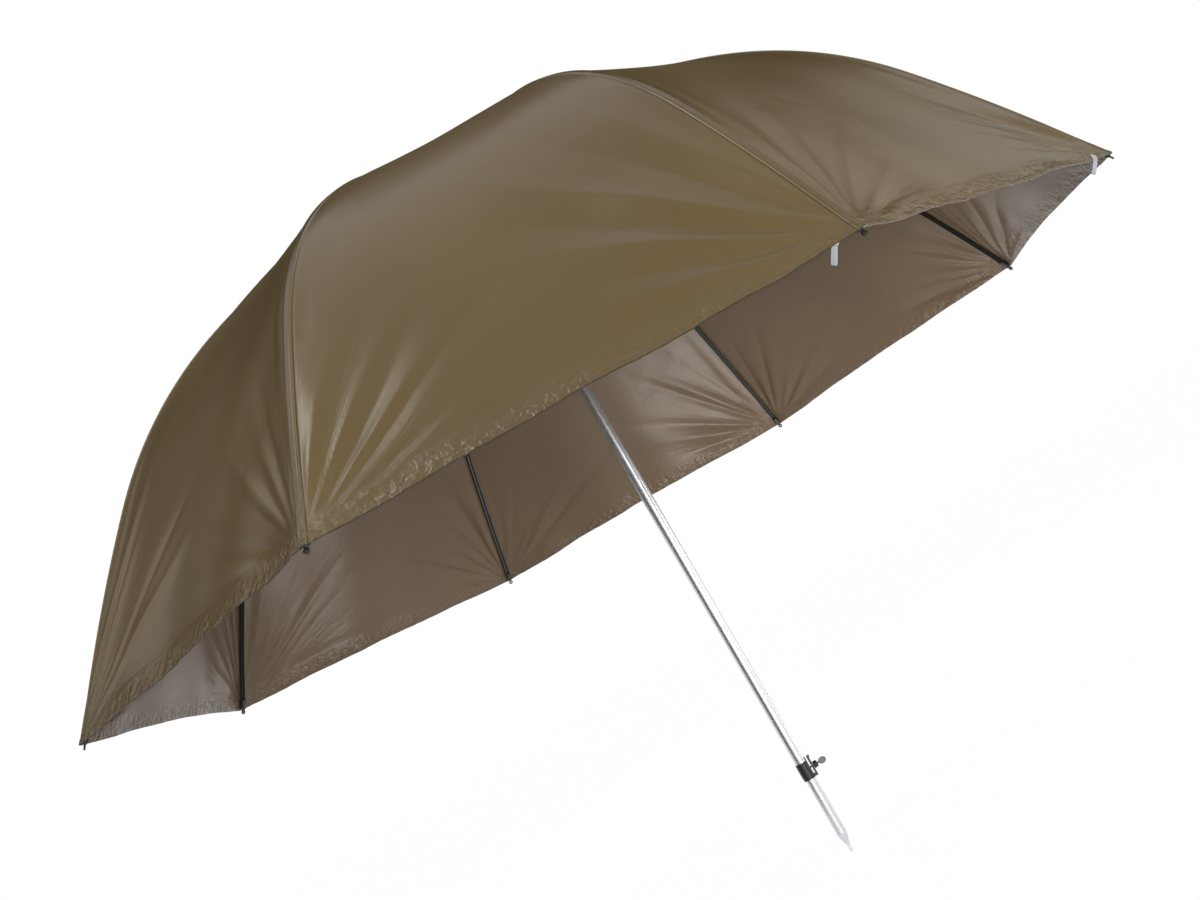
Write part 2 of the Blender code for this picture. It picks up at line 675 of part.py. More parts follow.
def make_bracket():
    """Model the bracket that is pressed round a rib, with two ears and a rivet."""
    half = RIB_WIDTH / 2 + SEAT_GAP
    outer = half + BRACKET_WALL
    ear_in = EYE_THICKNESS / 2 + SEAT_GAP
    ear_out = ear_in + BRACKET_WALL
    top = BRACKET_CHEEK - RIB_HEIGHT / 2
    floor = -RIB_HEIGHT / 2 - SEAT_GAP
    base = floor - BRACKET_WALL
    foot = -PIN_DROP - EAR_RADIUS - OVERRUN
    right = [(half, floor), (half, top), (outer, top), (outer, base), (ear_out, base), (ear_out, foot)]
    right += [(ear_in, foot), (ear_in, base)]
    outline = right + [(-x, z) for x, z in reversed(right)]
    body = plate("bracket", [outline], BRACKET_LENGTH + OVERRUN)
    moved(body, Matrix.Rotation(QUARTER, 4, "Z"))
    side = [(-BRACKET_LENGTH / 2, top + OVERRUN), (-BRACKET_LENGTH / 2, base)]
    side += arc(EAR_RADIUS, *EAR_ARC, ARC_STEPS, (0, -PIN_DROP))
    side += [(BRACKET_LENGTH / 2, base), (BRACKET_LENGTH / 2, top + OVERRUN)]
    reach = ear_out + PIN_HEAD
    rivet = rod("rivet", PIN_RADIUS, (0, -reach, -PIN_DROP), (0, reach, -PIN_DROP), FINE_STEPS)
    body = combined(body, rivet, "UNION")
    return combined(body, plate("side", [side], 2 * outer + OVERRUN), "INTERSECT")


def make_tip():
    """Model the cap on a rib's end with its flat eyelet."""
    back = -TIP_COVER - TIP_BACK
    nose = -TIP_NOSE
    neck = TIP_RADIUS * TIP_NECK_SHARE
    rows = [(0, nose), (TIP_RADIUS / 2, nose), (neck, nose - TIP_RADIUS / 2)]
    rows += [(TIP_RADIUS, nose - TIP_RADIUS), (TIP_RADIUS, back + FLANGE_LIP)]
    rows += [(TIP_RADIUS - FLANGE_LIP, back), (0, back)]
    cap = turned("rib_tip", rows, SMALL_STEPS)
    moved(cap, Matrix.Rotation(QUARTER, 4, "Y"))
    side = TIP_RADIUS + OVERRUN
    flat = block("flat", (back - OVERRUN, -side, TIP_FLAT), (OVERRUN, side, side))
    cap = combined(cap, flat, "DIFFERENCE")
    eyelet = plate("eyelet", [circle(EYELET_RADIUS, SMALL_STEPS)], EYELET_THICKNESS)
    moved(eyelet, Matrix.Rotation(QUARTER, 4, "X"))
    cap = combined(cap, eyelet, "UNION")
    hole = rod("hole", EYELET_HOLE, (0, 0, -TIP_RADIUS), (0, 0, TIP_RADIUS), FINE_STEPS)
    cap = combined(cap, hole, "DIFFERENCE")
    half = RIB_WIDTH / 2 + SEAT_GAP
    rise = RIB_HEIGHT / 2 + SEAT_GAP
    end = -TIP_BACK + SEAT_GAP
    pocket = block("pocket", (back - OVERRUN, -half, -rise), (end, half, rise))
    cap = combined(cap, pocket, "DIFFERENCE")
    return moved(cap, rib_frame(RIB_LENGTH))


def make_stretcher():
    """Model one stretcher along +X, with a flat pierced eye at each end."""
    length = stretcher_length()
    ends = (STRETCHER_NECK, 0, 0), (length - STRETCHER_NECK, 0, 0)
    bar = rod("stretcher", STRETCHER_RADIUS, *ends, STRETCHER_STEPS)
    half = STRETCHER_RADIUS * STRETCHER_FLAT_SHARE
    for end, side in ((0, 1), (length, -1)):
        reach = end + side * (STRETCHER_NECK + STRETCHER_EYE)
        outline = arc(STRETCHER_EYE, *STRETCHER_ARC, ARC_STEPS)
        outline = [(end + side * x, z) for x, z in outline]
        outline += [(reach, -half), (reach, half)]
        hole = circle(PIN_RADIUS + SEAT_GAP, FINE_STEPS, (end, 0))
        bar = combined(bar, plate("eye", [outline, hole], EYE_THICKNESS), "UNION")
    return bar


def bracket_frame(rise=0.0):
    """Return the bracket's matrix on the rib, in the middle of one straight span."""
    ends = rib_stations(leaf_end())[BRACKET_SPAN:BRACKET_SPAN + 2]
    (x_in, z_in, _), (x_out, z_out, _) = [on_rib(length) for length in ends]
    turn = Matrix.Rotation(math.atan2(z_in - z_out, x_out - x_in), 4, "Y")
    middle = Matrix.Translation(((x_in + x_out) / 2, 0, (z_in + z_out) / 2))
    return middle @ turn @ Matrix.Translation((0, 0, rise))


def rib_joint():
    """Return the stretcher's pivot on the rib, in the rib's own frame."""
    return bracket_frame(-PIN_DROP).translation


def stretcher_reach():
    """Return how far the stretcher's pivot on the rib lies outside its pivot on the runner."""
    return PIVOT_RADIUS + rib_joint().x - RUNNER_PIVOT


def stretcher_length():
    """Return the length of a stretcher between its two pivots."""
    return math.hypot(stretcher_reach(), RUNNER_DROP)


def runner_height():
    """Return the height of the stretchers' pivots on the runner."""
    return CROWN_Z + rib_joint().z - RUNNER_DROP


def runner_foot():
    """Return the height of the runner's lower end."""
    return runner_height() - RUNNER_LENGTH


def tube_top():
    """Return the height of the inner tube's upper end, clear of the leaf catch."""
    return runner_foot() - TUBE_TOP_GAP


def make_runner(surface):
    """Model the runner: a slotted ring for the stretchers over a sleeve with a grip."""
    pivot = runner_height()
    top = pivot + RUNNER_ABOVE
    low = pivot - RUNNER_BELOW
    foot = runner_foot()
    ring = RUNNER_PIVOT + RUNNER_LIP
    rows = [(ring, top), (ring, low), (RUNNER_SLEEVE, low), (RUNNER_SLEEVE, foot + GRIP_HEIGHT)]
    rows += [(GRIP_RADIUS, foot + GRIP_HEIGHT - FLANGE_LIP), (GRIP_RADIUS, foot + FLANGE_LIP)]
    rows += [(GRIP_RADIUS - FLANGE_LIP, foot), (RUNNER_BORE, foot), (RUNNER_BORE, top)]
    body = turned("runner", rows, ring=True)
    inner = RUNNER_PIVOT - STRETCHER_EYE - SEAT_GAP
    body = slotted(body, inner, ring, low, top)
    finish(body, "runner", surface)


def make_catch(surface):
    """Model the leaf catch inside the pole, with its nose under the runner."""
    face = runner_foot() - SEAT_GAP
    outer = POLE_BORE - SEAT_GAP
    nose = POLE_RADIUS + CATCH_NOSE
    foot = face - CATCH_LENGTH
    outline = [(outer, foot), (outer, face - CATCH_RAMP), (nose, face - CATCH_STRIP), (nose, face)]
    outline += [(outer - CATCH_STRIP, face), (outer - CATCH_STRIP, foot)]
    finish(plate("runner_catch", [outline], CATCH_WIDTH), "runner_catch", surface)


def hem_lift(length):
    """Return how far the cloth rises off the rib's line to pass over the tip."""
    run = (leaf_end() - LEAF_COLLAR) / (LEAF_ALONG - 2)
    return HEM_LIFT * max(1 - (leaf_end() - length) / run, 0)


def ridge_width(width):
    """Return half the width of the flat strip where a leaf lies over its rib."""
    return min(RIB_WIDTH / 2 + LEAF_EASE, width * LEAF_RIDGE_SHARE)


def leaf_point(length, across):
    """Return a point on the underside of a leaf and the way out of it, in the rib's frame."""
    x, z, slope = on_rib(length)
    seat = CLOTH_SEAT + hem_lift(length)
    x += seat * math.sin(slope)
    z += seat * math.cos(slope)
    radius = PIVOT_RADIUS + x
    width = radius * math.sin(HALF_GORE)
    flat = ridge_width(width)
    column = abs(across) * LEAF_HALF
    share = max((column - 1) / (LEAF_HALF - 1), 0.0)
    side = math.copysign(1, across)
    middle = radius * math.cos(HALF_GORE)
    edge = Vector((middle * math.cos(HALF_GORE), side * middle * math.sin(HALF_GORE), z))
    ridge = Vector((radius, side * flat * min(column, 1), z))
    point = ridge.lerp(edge, share * (1 - LEAF_SPLIT / (width - flat)))
    out = Vector((math.sin(slope) * math.cos(HALF_GORE), side * math.sin(slope) * math.sin(HALF_GORE),
                  math.cos(slope)))
    end = length / RIB_LENGTH
    sag = LEAF_SAG_SHARE * end * radius * share * (2 - share)
    sag += HEM_FOLD * end ** HEM_FOLD_POWER * math.sin(math.pi * HEM_FOLD_COUNT * share) ** 2
    return point - out * sag - Vector((PIVOT_RADIUS, 0, 0)), out


def make_leaf():
    """Model one canopy leaf as a creased sheet that sags towards the middle of each gore."""
    work = bmesh.new()
    bmesh.ops.create_grid(work, x_segments=LEAF_ALONG, y_segments=2 * LEAF_HALF, size=1.0)
    near = [LEAF_START - PIVOT_RADIUS, 0.0]
    for vert in work.verts:
        row = round((vert.co.x + 1) / 2 * LEAF_ALONG)
        across = vert.co.y
        length = (near + rib_stations(hem_length(across)))[row]
        if length < 0:
            start, _ = leaf_point(0, across)
            inner = (PIVOT_RADIUS + length) / (PIVOT_RADIUS + start.x) if start.x > -PIVOT_RADIUS else 1
            width = LEAF_SPLIT * (1 - inner) * abs(across)
            vert.co = Vector(((PIVOT_RADIUS + start.x) * inner - PIVOT_RADIUS,
                              start.y * inner - math.copysign(width, across), start.z))
        else:
            vert.co, _ = leaf_point(length, across)
    bmesh.ops.recalc_face_normals(work, faces=work.faces)
    if sum(face.normal.z for face in work.faces) < 0:
        bmesh.ops.reverse_faces(work, faces=work.faces)
    mesh = bpy.data.meshes.new("canopy_leaf")
    work.to_mesh(mesh)
    work.free()
    item = link(bpy.data.objects.new("canopy_leaf", mesh), CUTTERS)
    shell = item.modifiers.new("cloth", "SOLIDIFY")
    shell.thickness = CLOTH
    shell.offset = 1
    shell.use_even_offset = True
    return baked(item, "canopy_leaf")


def hem_frame(side, inset):
    """Return a matrix under the hem, at a distance along it from a rib: X runs out to the hem."""
    width = (PIVOT_RADIUS + on_rib(leaf_end())[0]) * math.sin(HALF_GORE)
    flat = ridge_width(width)
    column = 1 + (LEAF_HALF - 1) * (inset - flat) / (width - flat)
    first = math.floor(column)
    hems = []
    inners = []
    for number in (first, first + 1):
        across = side * number / LEAF_HALF
        spots = rib_stations(hem_length(across))
        hems.append(leaf_point(spots[-1], across)[0])
        inners.append(leaf_point(spots[-2], across)[0])
    hem = hems[0].lerp(hems[1], column - first)
    along = (hem - inners[0].lerp(inners[1], column - first)).normalized()
    sideways = side * (hems[1] - hems[0]).normalized()
    normal = along.cross(sideways).normalized()
    turn = Matrix((along, normal.cross(along), normal)).transposed().to_4x4()
    return Matrix.Translation(hem) @ turn


def loop_frame(side, inset, drop):
    """Return the frame of a loop's tab where it leaves the hem, turned towards the middle of the panel."""
    turn = Matrix.Rotation(side * LOOP_TURN, 4, "Z")
    return hem_frame(side, inset) @ Matrix.Translation((0, 0, -drop)) @ turn


def make_loop(name, rib, side, inset, webbing, index):
    """Model a sewn tab under the hem and the webbing loop that hangs from it."""
    drop = SEAT_GAP + TAB_THICKNESS / 2
    shift = Matrix.Translation((TAB_OVERHANG - TAB_LENGTH / 2, 0, 0))
    frame = rib_mount(rib) @ loop_frame(side, inset, drop) @ shift
    half = TAB_LENGTH / 2
    tab = block("tab", (-half, -TAB_WIDTH / 2, -TAB_THICKNESS / 2), (half, TAB_WIDTH / 2, TAB_THICKNESS / 2))
    finish(tab, "loop_tab_" + index, webbing, frame)
    bend = LOOP_GAP / 2 + LOOP_BAND
    root = (LOOP_ROOT + bend, 0)
    free = (LOOP_ROOT + LOOP_LENGTH - bend, 0)
    outer = arc(bend, 90, 270, LOOP_STEPS, root) + arc(bend, -90, 90, LOOP_STEPS, free)
    tight = LOOP_GAP / 2
    inner = arc(tight, 90, 270, LOOP_STEPS, root) + arc(tight, -90, 90, LOOP_STEPS, free)
    band = plate("loop", [outer, inner], LOOP_WIDTH)
    droop = Matrix.Rotation(LOOP_DROOP, 4, "Y")
    finish(band, name, webbing, frame @ Matrix.Translation((half, 0, 0)) @ droop)


def make_ribs(rib_surface, tip_surface, steel, cloth):
    """Place the ribs with their tips, brackets, leaves and stretchers."""
    rib = make_rib()
    bracket = make_bracket()
    tip = make_tip()
    leaf = make_leaf()
    stretcher = make_stretcher()
    joint = rib_joint()
    aim = math.atan2(RUNNER_DROP, stretcher_reach())
    swing = Matrix.Rotation(math.radians(180) - aim, 4, "Y")
    on_bracket = bracket_frame()
    for index in range(RIB_COUNT):
        number = str(index + 1)
        mount = rib_mount(index)
        place(rib, "rib_" + number, rib_surface, mount)
        place(bracket, "rib_bracket_" + number, steel, mount @ on_bracket)
        place(tip, "rib_tip_" + number, tip_surface, mount)
        place(leaf, "canopy_leaf_" + number, cloth, mount)
        place(stretcher, "stretcher_" + number, rib_surface, mount @ Matrix.Translation(joint) @ swing)
    for scratch in (rib, bracket, tip, leaf, stretcher):
        bpy.data.objects.remove(scratch, do_unlink=True)


def main():
    """Build the whole umbrella."""
    clear_scene()
    aluminium = material("aluminium", (0.80, 0.81, 0.83), 0.28, 1.0)
    cast = material("cast_aluminium", (0.55, 0.56, 0.57), 0.45, 1.0)
    black = material("black_plastic", (0.02, 0.02, 0.022), 0.45, 0.0)
    steel = material("steel", (0.42, 0.43, 0.44), 0.35, 1.0)
    painted = material("rib_paint", (0.05, 0.06, 0.05), 0.40, 0.0)
    cloth = material("nylon_cloth", (0.20, 0.155, 0.10), 0.55, 0.0)
    webbing = material("webbing", (0.75, 0.76, 0.78), 0.70, 0.0)
    make_spike(aluminium)
    make_inner_tube(aluminium, black)
    make_pole(aluminium)
    make_collar(black)
    make_screw(black, steel)
    make_crown(cast, black, steel)
    make_runner(black)
    make_catch(steel)
    make_ribs(painted, black, steel, cloth)
    make_loop("guy_loop_1", 1, -1, LOOP_1_INSET, webbing, "1")
    make_loop("guy_loop_2", 2, -1, LOOP_2_INSET, webbing, "2")


main()
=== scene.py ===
"""Looks of the fishing umbrella: cloth, seams, hems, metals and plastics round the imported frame."""
import json
import math

import bmesh
import bpy
import numpy as np
from mathutils import Matrix, Vector


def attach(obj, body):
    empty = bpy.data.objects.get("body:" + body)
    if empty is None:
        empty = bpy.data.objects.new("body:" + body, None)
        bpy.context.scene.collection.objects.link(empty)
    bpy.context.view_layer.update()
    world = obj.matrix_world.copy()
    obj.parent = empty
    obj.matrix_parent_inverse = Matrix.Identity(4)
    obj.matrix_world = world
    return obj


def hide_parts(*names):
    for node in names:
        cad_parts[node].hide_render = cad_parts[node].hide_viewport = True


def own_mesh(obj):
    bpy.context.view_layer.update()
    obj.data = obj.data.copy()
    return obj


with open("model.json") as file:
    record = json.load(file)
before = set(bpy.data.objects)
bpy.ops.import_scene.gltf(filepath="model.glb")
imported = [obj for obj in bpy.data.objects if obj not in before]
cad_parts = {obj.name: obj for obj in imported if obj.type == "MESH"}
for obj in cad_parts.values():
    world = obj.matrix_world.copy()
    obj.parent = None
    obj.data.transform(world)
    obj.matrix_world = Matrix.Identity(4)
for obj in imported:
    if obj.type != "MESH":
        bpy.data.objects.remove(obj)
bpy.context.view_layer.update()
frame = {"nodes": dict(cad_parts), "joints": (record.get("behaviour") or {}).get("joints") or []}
JOINTS = {joint["name"]: joint for joint in frame["joints"]}

# Lengths are in metres. A pair in brackets is the start and end of a fade, or a lowest and highest
# value, where nothing else is said.

# Layout, from the frame's joints
RIB_COUNT = 8
RIB_PITCH = 2 * math.pi / RIB_COUNT
HALF_GORE = RIB_PITCH / 2
FIRST_PIVOT = Vector(JOINTS["rib_1_fold"]["pos_m"])
PIVOT_RADIUS = FIRST_PIVOT.to_2d().length
CROWN_Z = FIRST_PIVOT.z
FIRST_RIB = math.atan2(FIRST_PIVOT.y, FIRST_PIVOT.x)

# The rib's line, as in the part's source: a slope in degrees at each share of its length
RIB_LENGTH = 1.3025
RIB_SLOPE_SHARES = ((0.0, 8.7), (0.30, 16.6), (0.45, 28.8), (0.70, 52.5), (1.0, 58.6))
RIB_HEIGHT = 0.0060
RIB_WIDTH = 0.0078
PATH_STEPS = 400

# The leaf's smooth form, as in the part's source
CLOTH_CLEARANCE = 0.0003
CLOTH_SEAT = RIB_HEIGHT / 2 + CLOTH_CLEARANCE
HEM_SET = 0.0027
HEM_LIFT = 0.0024
HEM_LIFT_RUN = 0.0715
HEM_SCALLOP = 0.0139
HEM_FOLD = 0.0035
HEM_FOLD_POWER = 6
LEAF_START = 0.007
LEAF_SAG_SHARE = 0.0146
LEAF_EASE = 0.0008
FLAT_SHARE = 0.3
FORM_PASSES = 3

# The gore whose hem is bound in cream
PALE_GORE = 1

# The leaf's mesh: rows above and below a line over the hem, and along the hem, then columns from
# the rib to mid-gore, the first of them at set distances
ROWS_ABOVE = 84
ROWS_BELOW = 70
ROWS_HEM = 7
LINE_OVER_HEM = 0.34
HEM_ROWS_WIDTHS = 1.3
COLUMNS = 64
BESIDE = (0.0, 0.0011, 0.0021, 0.0028, 0.0036, 0.0048, 0.0062, 0.0080, 0.0110)
BESIDE_SHARE = 0.4
COLUMN_POWER = 1.25

# A point that all of the canopy faces away from
UNDER_CANOPY = (0, 0, 0.3)

# Thickness of the cloth, its doubled hem, and the sewn ridge over each rib with a groove beside it,
# which start where half a gore is as wide as SEAM_START says
CLOTH = 0.0009
HEM_WIDTH = 0.0085
HEM_DOUBLE = 0.0007
HEM_STEP = 0.001
SEAM_HALF = 0.0064
SEAM_RISE = 0.0015
SEAM_EDGE_SHARES = (0.75, 1.25)
SEAM_START = (0.02, 0.06)
SEAM_GROOVE = 0.0009
GROOVE_PLACE = 0.0092
GROOVE_WIDTH = 0.0014
GROOVE_DEPTH_SHARE = 0.7

# Lattice noise: factors that mix a lattice point and a seed
MIX_X = 127.1
MIX_Y = 311.7
MIX_SEED = 74.7
MIX_SCALE = 43758.5453

# Small values that keep divisions safe
NEVER_ZERO = 1e-6
NEVER_ZERO_LENGTH = 1e-12

# Folds that fan out from a tip: angles and widths in degrees, and bends in radians per metre
RAY_COUNT = 10
RAY_START = 2
RAY_GAPS = (4.0, 11.0)
RAY_WIDTHS = (1.6, 4.0)
RAY_HEIGHTS = (0.0012, 0.0075)
RAY_HOLLOW_SHARE = -0.6
RAY_REACHES = (0.14, 0.50)
RAY_BENDS = (-0.35, 0.35)
BEND_REACH = 0.6
FOLD_FOOT = 0.0045
FOLD_RISE = (0.008, 0.08)
FOLD_HOLD_SHARE = 0.3
FOLD_STEEPEST = 0.32
ROUND_SHARE = 0.65
SHARP_SHARE = 0.35
SHARPNESS = 2.2

# The broad folds at one tip of the front panel: angle, width, height, reach and bend of each
BROAD_SEED = 2
BROAD_FOLDS = (
    (9, 2.6, 0.0070, 0.55, 0.10),
    (20, 3.6, -0.0075, 0.60, -0.10),
    (31, 3.6, 0.0085, 0.62, 0.15),
    (42, 3.8, -0.0075, 0.55, 0.05),
    (52, 3.4, 0.0080, 0.50, -0.15),
    (62, 3.2, -0.0060, 0.45, 0.10),
    (70, 2.6, 0.0055, 0.40, 0.10),
)

# Waves of the cloth: what is added to the gore's seed, then the rates that make the noise's x and
# y from measures of a place: from the left rib, from the nearer rib, down the gore or up the hem
SEEDS_PER_GORE = 13
LEFT_TIP_SEED = 1
RIGHT_TIP_SEED = 2
WAVES = {
    "drape": (9, {"left": 4.2, "length": 1.3}, {"length": 2.2}),
    "slant": (10, {"left": 7, "length": 5}, {"length": 3, "left": -2}),
    "rib_pucker": (7, {"length": 4.5}, {"inner": 40}),
    "hem_pucker": (12, {"left": 62}, {"up": 20}),
    "hem_wave": (14, {"left": 9}, {"up": 3}),
}
DRAPE_HEIGHT = 0.0034
DRAPE_FADE = (0.02, 0.16)
SLANT_HEIGHT = 0.0014
SLANT_FADE = (0.01, 0.08)
RIB_PUCKER_HEIGHT = 0.0011
RIB_PUCKER_PLACE = 0.030
RIB_PUCKER_SPREAD = 0.022
HEM_PUCKER_HEIGHT = 0.0010
HEM_PUCKER_SPREAD = 0.020
HEM_WAVE_HEIGHT = 0.0022
PALE_WAVE_HEIGHT = 0.0042
HEM_WAVE_SPREAD = 0.07
HEM_WAVE_FADE = (0, 0.08)
TIP_UP = (0.02, 0.06)
TIP_ASIDE = (0.08, 0.12)
RIB_FADE = (0.0055, 0.020)
CROWN_FADE = (0.03, 0.22)

# Measures of each point of the cloth that its material reads
FACTS = ("hem", "seam", "fan_turn", "fan_out", "far_turn", "far_out")

# A leaf's material slots
OUTSIDE, INSIDE, BINDING, PALE_BINDING = range(4)

# Sockets of a colour mix node
MIX_FACTOR, MIX_FIRST, MIX_SECOND, MIX_RESULT = 0, 6, 7, 2

# Cloth colour: cloud tints, then the tint of each line between two distances from hem or rib; the
# lines by the rib are painted shade, and outside also a painted highlight, on the sewn ridge and its
# groove
CLOUD_NOISE = {"in_Scale": 2.6, "in_Detail": 1.0}
CLOUD_ENDS = (0.15, 0.85)
CLOUD_TINTS = (0.88, 1.10)
CLOUD_SMOOTHER = 0.04
CLOUD_ROUGHER = 0.05
THREAD_PITCH = 0.0034
THREAD_GAP = -0.35
THREAD_TINT = 0.45
THREAD_LINE = (0.0062, 0.0070)
HEM_EDGE_TINT = 0.62
HEM_EDGE = (-1.0, 0.0016)
# Outside, by the rib: a painted shade line in the groove beside the sewn ridge, darker over the
# ridge, and a painted highlight along the ridge's edge
OUTSIDE_SEAM_SHADE_AND_HIGHLIGHT = ((0.40, 0.0074, 0.0092), (0.74, -1.0, 0.0056), (1.40, 0.0056, 0.0070))
# Inside: a painted shade line beside the rib, where the cloth meets it
INSIDE_RIB_SHADE = ((0.55, 0.0040, 0.0056),)

# Cloth relief: noise inputs, streaks as rates across and along with detail, fades by the distance
# from the tip, by how much farther the other tip is and by the distance from the hem, and bumps as
# strength with distance
STREAK_NOISE = {"in_Scale": 1.0, "in_Roughness": 0.6, "in_Distortion": 0.3}
STREAKS = (9.0, 6.0, 4.0)
FINE_STREAKS = (34.0, 14.0, 3.0)
CRUMPLE_NOISE = {"in_Scale": 15.0, "in_Detail": 5.0, "in_Roughness": 0.55, "in_Distortion": 0.5}
PATCH_NOISE = {"in_Scale": 4.2, "in_Detail": 0.0}
PATCH_ENDS = (0.38, 0.76)
GATHER_NOISE = {"in_Scale": 75.0, "in_Detail": 2.0, "in_Distortion": 0.4}
WEAVE_NOISE = {"in_Scale": 1100.0, "in_Detail": 1.0}
CLOSE_TO_TIP = (0.05, 0.55)
OWN_HALF = (0.0, 0.16)
CLOSE_TO_HEM = (0.010, 0.042)
NEAR_BUMP = (0.16, 0.010)
FAR_BUMP = (0.04, 0.008)
FINE_BUMP = (0.07, 0.003)
PATCH_BUMP = (0.17, 0.008)
CRUMPLE_BUMP = (0.05, 0.006)
GATHER_BUMP = (0.90, 0.006)
WEAVE_BUMP = (0.06, 0.0005)

# Other materials: how noise darkens or lightens, roughens and raises each kind
MARKS_DETAIL = 4.0
METAL_DARK = 0.93
METAL_ENDS = (0.35, 0.65)
METAL_ROUGHER = 0.08
METAL_BUMP = (0.01, 0.0003)
GRAIN_DETAIL = 3.0
GRAIN_LIGHT = 1.3
GRAIN_LIFT = 0.004
GRAIN_ENDS = (0.35, 0.75)
GRAIN_ROUGHER = 0.1
GRAIN_DISTANCE = 0.0004
ROUGH_ENDS = (0.3, 0.7)
WEBBING_WAVE = {"in_Scale": 420.0, "in_Distortion": 1.0}
WEBBING_DARK = 0.78
WEBBING_ENDS = (0.2, 0.8)
WEBBING_BUMP = (0.3, 0.0004)
WEBBING_ROUGHNESS = 0.6
WEBBING_SHEEN = 0.2

# Webbing loops and tabs: the rib of each loop's number, then their forms and stitches
LOOP_RIBS = {1: 2, 2: 3}
TAPE = 0.0010
SECTION_SIDES = 20
EDGE_POWER = 0.35
FACE_POWER = 0.5
LOOP_STEPS = 64
LOOP_STRETCH = 1.35
LOOP_OPENING = (0.80, 0.20)
TAB_STEPS = 12
STITCH_PITCH = 0.0021
STITCH_SIZE = (0.0008, 0.00022, 0.00018)
STITCH_INSET = 0.0013
STITCH_SEGMENTS = 8
STITCH_RINGS = 6
THREAD_SLOT = 1

# The camera that was fitted to the photograph
CAMERA_PLACE = (-0.0220, -2.7711, 0.5332)
CAMERA_RIGHT = (0.86162, -0.03484, -0.50636)
CAMERA_DOWN = (-0.49955, 0.11823, -0.85818)
CAMERA_AHEAD = (0.08977, 0.99239, 0.08447)
CAMERA_LENS_MM = 43.316
CAMERA_SENSOR_MM = 36.0
CAMERA_SHIFT = (-0.1250, -0.0096)

# The studio: even light, the floor, lamps as (name, place, aim, size, power) and dark cards as
# (name, place, size, degrees turned)
AMBIENT = 0.12
FLOOR_SIZE = 60
FLOOR_DROP = 0.0005
FLOOR_GREY = 0.85
FLOOR_ROUGHNESS = 0.9
FLOOR_SPECULAR = 0.1
FLOOR_GLOW = 1.05
FLOOR_GLOW_SHARE = 0.94
LAMPS = (
    ("front", (0.6, -4.3, 0.2), (-0.1, 0.2, 1.0), (1.8, 1.2), 102),
    ("right", (4.0, -1.2, 1.4), (0.0, 0.2, 1.15), (1.8, 1.8), 36),
    ("overhead", (-1.15, -1.1, 3.4), (-0.1, -0.3, 1.15), (0.8, 0.8), 15),
    ("under", (0.42, 0.28, 0.05), (0.3, 0.85, 1.1), (0.42, 0.42), 6),
)
FLAG_GREY = 0.01
FLAGS = (
    ("pole_flag", (-0.52, -0.30, 0.5), (0.50, 1.0), -60),
    ("back_flag", (-1.0, 3.6, 4.3), (12.0, 6.4), 0),
)


def rib_tables():
    """Return lengths, reach, height and slope along a rib from its pivot."""
    stops, degrees = zip(*RIB_SLOPE_SHARES)
    length = np.linspace(0, RIB_LENGTH, PATH_STEPS + 1)
    middle = (np.arange(PATH_STEPS) + 0.5) / PATH_STEPS
    slope = np.radians(np.interp(middle, stops, degrees))
    step = RIB_LENGTH / PATH_STEPS
    reach = np.concatenate([[0], np.cumsum(np.cos(slope) * step)])
    height = np.concatenate([[0], -np.cumsum(np.sin(slope) * step)])
    return length, reach, height, np.radians(np.interp(length / RIB_LENGTH, stops, degrees))


RIB_LINE = rib_tables()


def on_rib(length):
    """Return reach, height and slope on the rib's centre line."""
    return tuple(np.interp(length, RIB_LINE[0], row) for row in RIB_LINE[1:])


def lattice(ix, iy, seed):
    """Return a repeatable value from 0 to 1 for each lattice point."""
    mixed = np.sin(ix * MIX_X + iy * MIX_Y + seed * MIX_SEED) * MIX_SCALE
    return mixed - np.floor(mixed)


def soft_step(share):
    """Return a step from 0 to 1 that starts and ends without a bend."""
    return share * share * share * (share * (share * 6 - 15) + 10)


def noise(x, y, seed):
    """Return smooth noise from -1 to 1."""
    ix = np.floor(x)
    iy = np.floor(y)
    fx = soft_step(x - ix)
    fy = soft_step(y - iy)
    low = lattice(ix, iy, seed) * (1 - fx) + lattice(ix + 1, iy, seed) * fx
    high = lattice(ix, iy + 1, seed) * (1 - fx) + lattice(ix + 1, iy + 1, seed) * fx
    return 2 * (low * (1 - fy) + high * fy) - 1


def fade(value, start, end):
    """Return a smooth step from 0 at start to 1 at end."""
    share = np.clip((value - start) / (end - start), 0, 1)
    return share * share * (3 - 2 * share)


def bell(value, spread):
    """Return a smooth peak of 1 at zero."""
    return np.exp(-(value / spread) ** 2)


def tip_rays(seed):
    """Return the folds that fan out from a tip: angle, width, height, reach and bend of each."""
    if seed == BROAD_SEED:
        angle, width, height, reach, bend = np.array(BROAD_FOLDS).T
        return zip(np.radians(angle), np.radians(width), height, reach, bend)
    random = np.random.default_rng(seed)
    angle = np.radians(RAY_START + np.cumsum(random.uniform(*RAY_GAPS, RAY_COUNT)))
    width = np.radians(random.uniform(*RAY_WIDTHS, RAY_COUNT))
    height = random.uniform(*RAY_HEIGHTS, RAY_COUNT)
    height[1::2] *= RAY_HOLLOW_SHARE
    reach = random.uniform(*RAY_REACHES, RAY_COUNT)
    bend = random.uniform(*RAY_BENDS, RAY_COUNT)
    return zip(angle, width, height, reach, bend)


